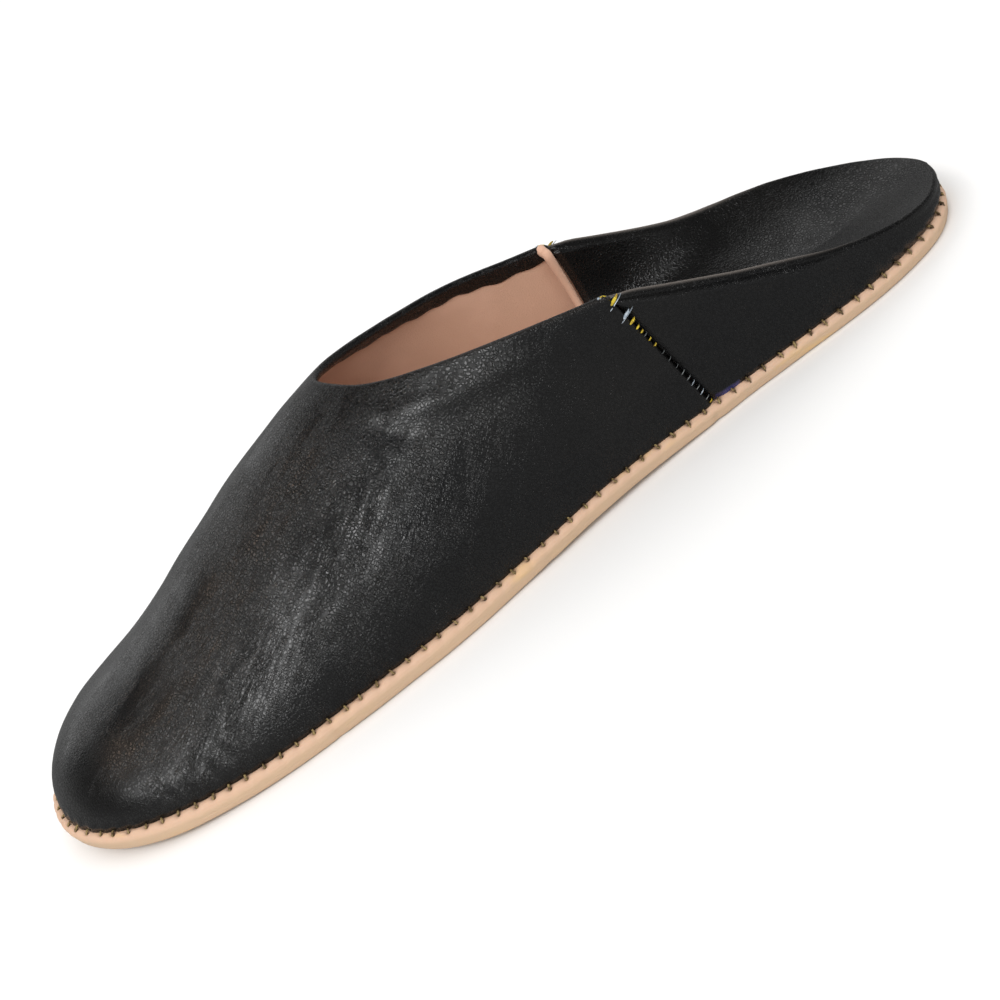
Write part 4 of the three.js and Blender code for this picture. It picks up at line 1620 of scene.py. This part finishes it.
@dataclass(frozen=True)
class Shot:
    """Camera: place in metres, directions to its right and up, lens and aim in pixels."""

    place: Point = (-0.4950, 0.0049, 0.2658)
    right: Point = (-0.2863, -0.8142, -0.5051)
    up: Point = (0.4096, -0.5806, 0.7037)
    focal_px: float = 2198.0
    frame_px: float = 1000.0
    aim_px: Pair = (477.0, 423.0)
    sensor: float = 36.0

    def build(self) -> None:
        """Makes the camera, aimed at the middle of the shoe."""
        right, up = Vector(self.right).normalized(), Vector(self.up).normalized()
        back = right.cross(up)
        middle = self.frame_px / 2
        look = -back * self.focal_px + right * (self.aim_px[0] - middle) + up * (middle - self.aim_px[1])
        back = -look.normalized()
        right = up.cross(back).normalized()
        up = back.cross(right)
        data = bpy.data.cameras.new("camera")
        data.sensor_width = self.sensor
        data.lens = self.focal_px / self.frame_px * self.sensor
        data.clip_start = 0.01
        made = bpy.data.objects.new("camera", data)
        turn = Matrix((right, up, back)).transposed().to_4x4()
        made.matrix_world = Matrix.Translation(self.place) @ turn
        bpy.context.scene.collection.objects.link(made)
        bpy.context.scene.camera = made


@dataclass(frozen=True)
class Lamp:
    """Square soft light in metres and watts."""

    name: str
    place: Point
    aim: Point
    size: float
    power: float
    colour: Triple = (1.0, 1.0, 1.0)

    def build(self) -> None:
        """Makes the light, turned to its aim."""
        data = bpy.data.lights.new(self.name, "AREA")
        data.size = self.size
        data.energy = self.power
        data.color = self.colour
        made = bpy.data.objects.new(self.name, data)
        made.location = self.place
        made.rotation_euler = (Vector(self.aim) - Vector(self.place)).to_track_quat("-Z", "Y").to_euler()
        bpy.context.scene.collection.objects.link(made)


LAMPS = (
    Lamp("key_light", (-1.22, 0.97, 1.61), (0.0, 0.05, 0.03), 0.8, 9.5),
    Lamp("side_light", (-1.65, 0.4, 1.44), (0.0, 0.02, 0.03), 0.8, 10.0),
    Lamp("front_light", (-0.67, 1.42, 1.61), (0.0, 0.05, 0.03), 0.45, 2.2),
    Lamp("warm_light", (0.27, 1.13, 1.81), (0.0, 0.07, 0.03), 0.34, 2.0, (1.0, 0.76, 0.6)),
    Lamp("heel_light", (1.5, -0.43, 1.58), (0.0, -0.08, 0.02), 1.2, 4.0),
    Lamp("far_light", (1.68, 0.97, 0.93), (0.0, 0.05, 0.03), 1.1, 3.2),
)


@dataclass
class Studio:
    """Plain pale floor, soft lights and a pale surround that is dimmer in reflections."""

    floor_size: float = 8.0
    floor_colour: Colour = (0.86, 0.86, 0.855, 1)
    floor_shade: Colour = (0.8471, 0.8471, 0.842175, 1)
    floor_rough: float = 0.75
    surround: Colour = (1.0, 1.0, 1.0, 1)
    surround_strength: float = 0.98
    mirrored_high: float = 0.03
    mirrored_horizon: float = 0.36
    mirrored_low: float = 0.24
    rise_low: Pair = (-0.15, 0.05)
    rise_high: Pair = (0.12, 0.45)

    def build(self) -> None:
        """Makes floor, lights and surround."""
        material, nodes, shader = new_material("pale_floor")
        tone = nodes.ramp(nodes.noise(nodes.place(), 3.0, 2.0), 0.3, 0.7)
        colour = nodes.mix(tone, self.floor_colour, self.floor_shade)
        nodes.feed(shader, Base_Color=colour, Roughness=self.floor_rough)
        mesh = bmesh.new()
        bmesh.ops.create_grid(mesh, x_segments=2, y_segments=2, size=self.floor_size / 2)
        floor = mesh_object("floor", mesh, material)
        floor.visible_glossy = False
        for lamp in LAMPS:
            lamp.build()
        world = bpy.data.worlds.new("surround")
        bpy.context.scene.world = world
        world.use_nodes = True
        sky = Nodes(world.node_tree)
        backdrop = sky.add("ShaderNodeBackground")
        mirrored = sky.add("ShaderNodeLightPath").outputs["Is Glossy Ray"]
        place = sky.add("ShaderNodeNewGeometry").outputs["Position"]
        rise = sky.feed(sky.add("ShaderNodeSeparateXYZ"), Vector=place).outputs["Z"]
        low = sky.ramp(rise, *self.rise_low, self.mirrored_low, self.mirrored_horizon)
        fade = sky.ramp(rise, *self.rise_high, 1.0, 0.0)
        dim = sky.math("MULTIPLY", sky.math("SUBTRACT", low, self.mirrored_high), fade)
        dim = sky.math("ADD", dim, self.mirrored_high)
        plain = sky.math("MULTIPLY", sky.math("SUBTRACT", 1.0, mirrored), self.surround_strength)
        strength = sky.math("ADD", plain, sky.math("MULTIPLY", mirrored, dim))
        sky.feed(backdrop, Color=self.surround, Strength=strength)
        sky.put(sky.add("ShaderNodeOutputWorld").inputs["Surface"], backdrop.outputs["Background"])
        bpy.context.scene.view_settings.view_transform = "Standard"


def dress_insole(effects: Effects) -> None:
    """Gives the insole its natural leather finish."""
    finish = NaturalLeather("insole_leather", (0.5, 0.3, 0.2, 1), (0.4, 0.22, 0.14, 1))
    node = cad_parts["insole"]
    node.data.materials.clear()
    node.data.materials.append(finish.material(effects))


def main() -> None:
    """Builds and dresses the slipper piece by piece."""
    logging.basicConfig(level=logging.INFO, format="%(name)s: %(message)s")
    Shot().build()
    Studio().build()
    effects = Effects()
    last = Last()
    last.fit_frame()
    stitching = Stitching()
    stitching.lay_out(last)
    black = BlackLeather().material(effects)
    sole = Sole(last, stitching)
    sole.build(SoleLeather().material(effects))
    sole.sew(Thread("waxed_thread", (0.36, 0.26, 0.11, 1), (0.09, 0.055, 0.02, 1), 0.45).material())
    vamp = Vamp(last, stitching)
    vamp.build(black)
    lining = NaturalLeather("lining_leather", (0.76, 0.47, 0.335, 1), (0.64, 0.38, 0.26, 1)).material(effects)
    vamp.line(lining)
    quarter = HeelQuarter(last, stitching)
    quarter.build(black)
    quarter.turn_edges(lining)
    SideSeams(vamp).build()
    dress_insole(effects)


if __name__ == "__main__":
    main()
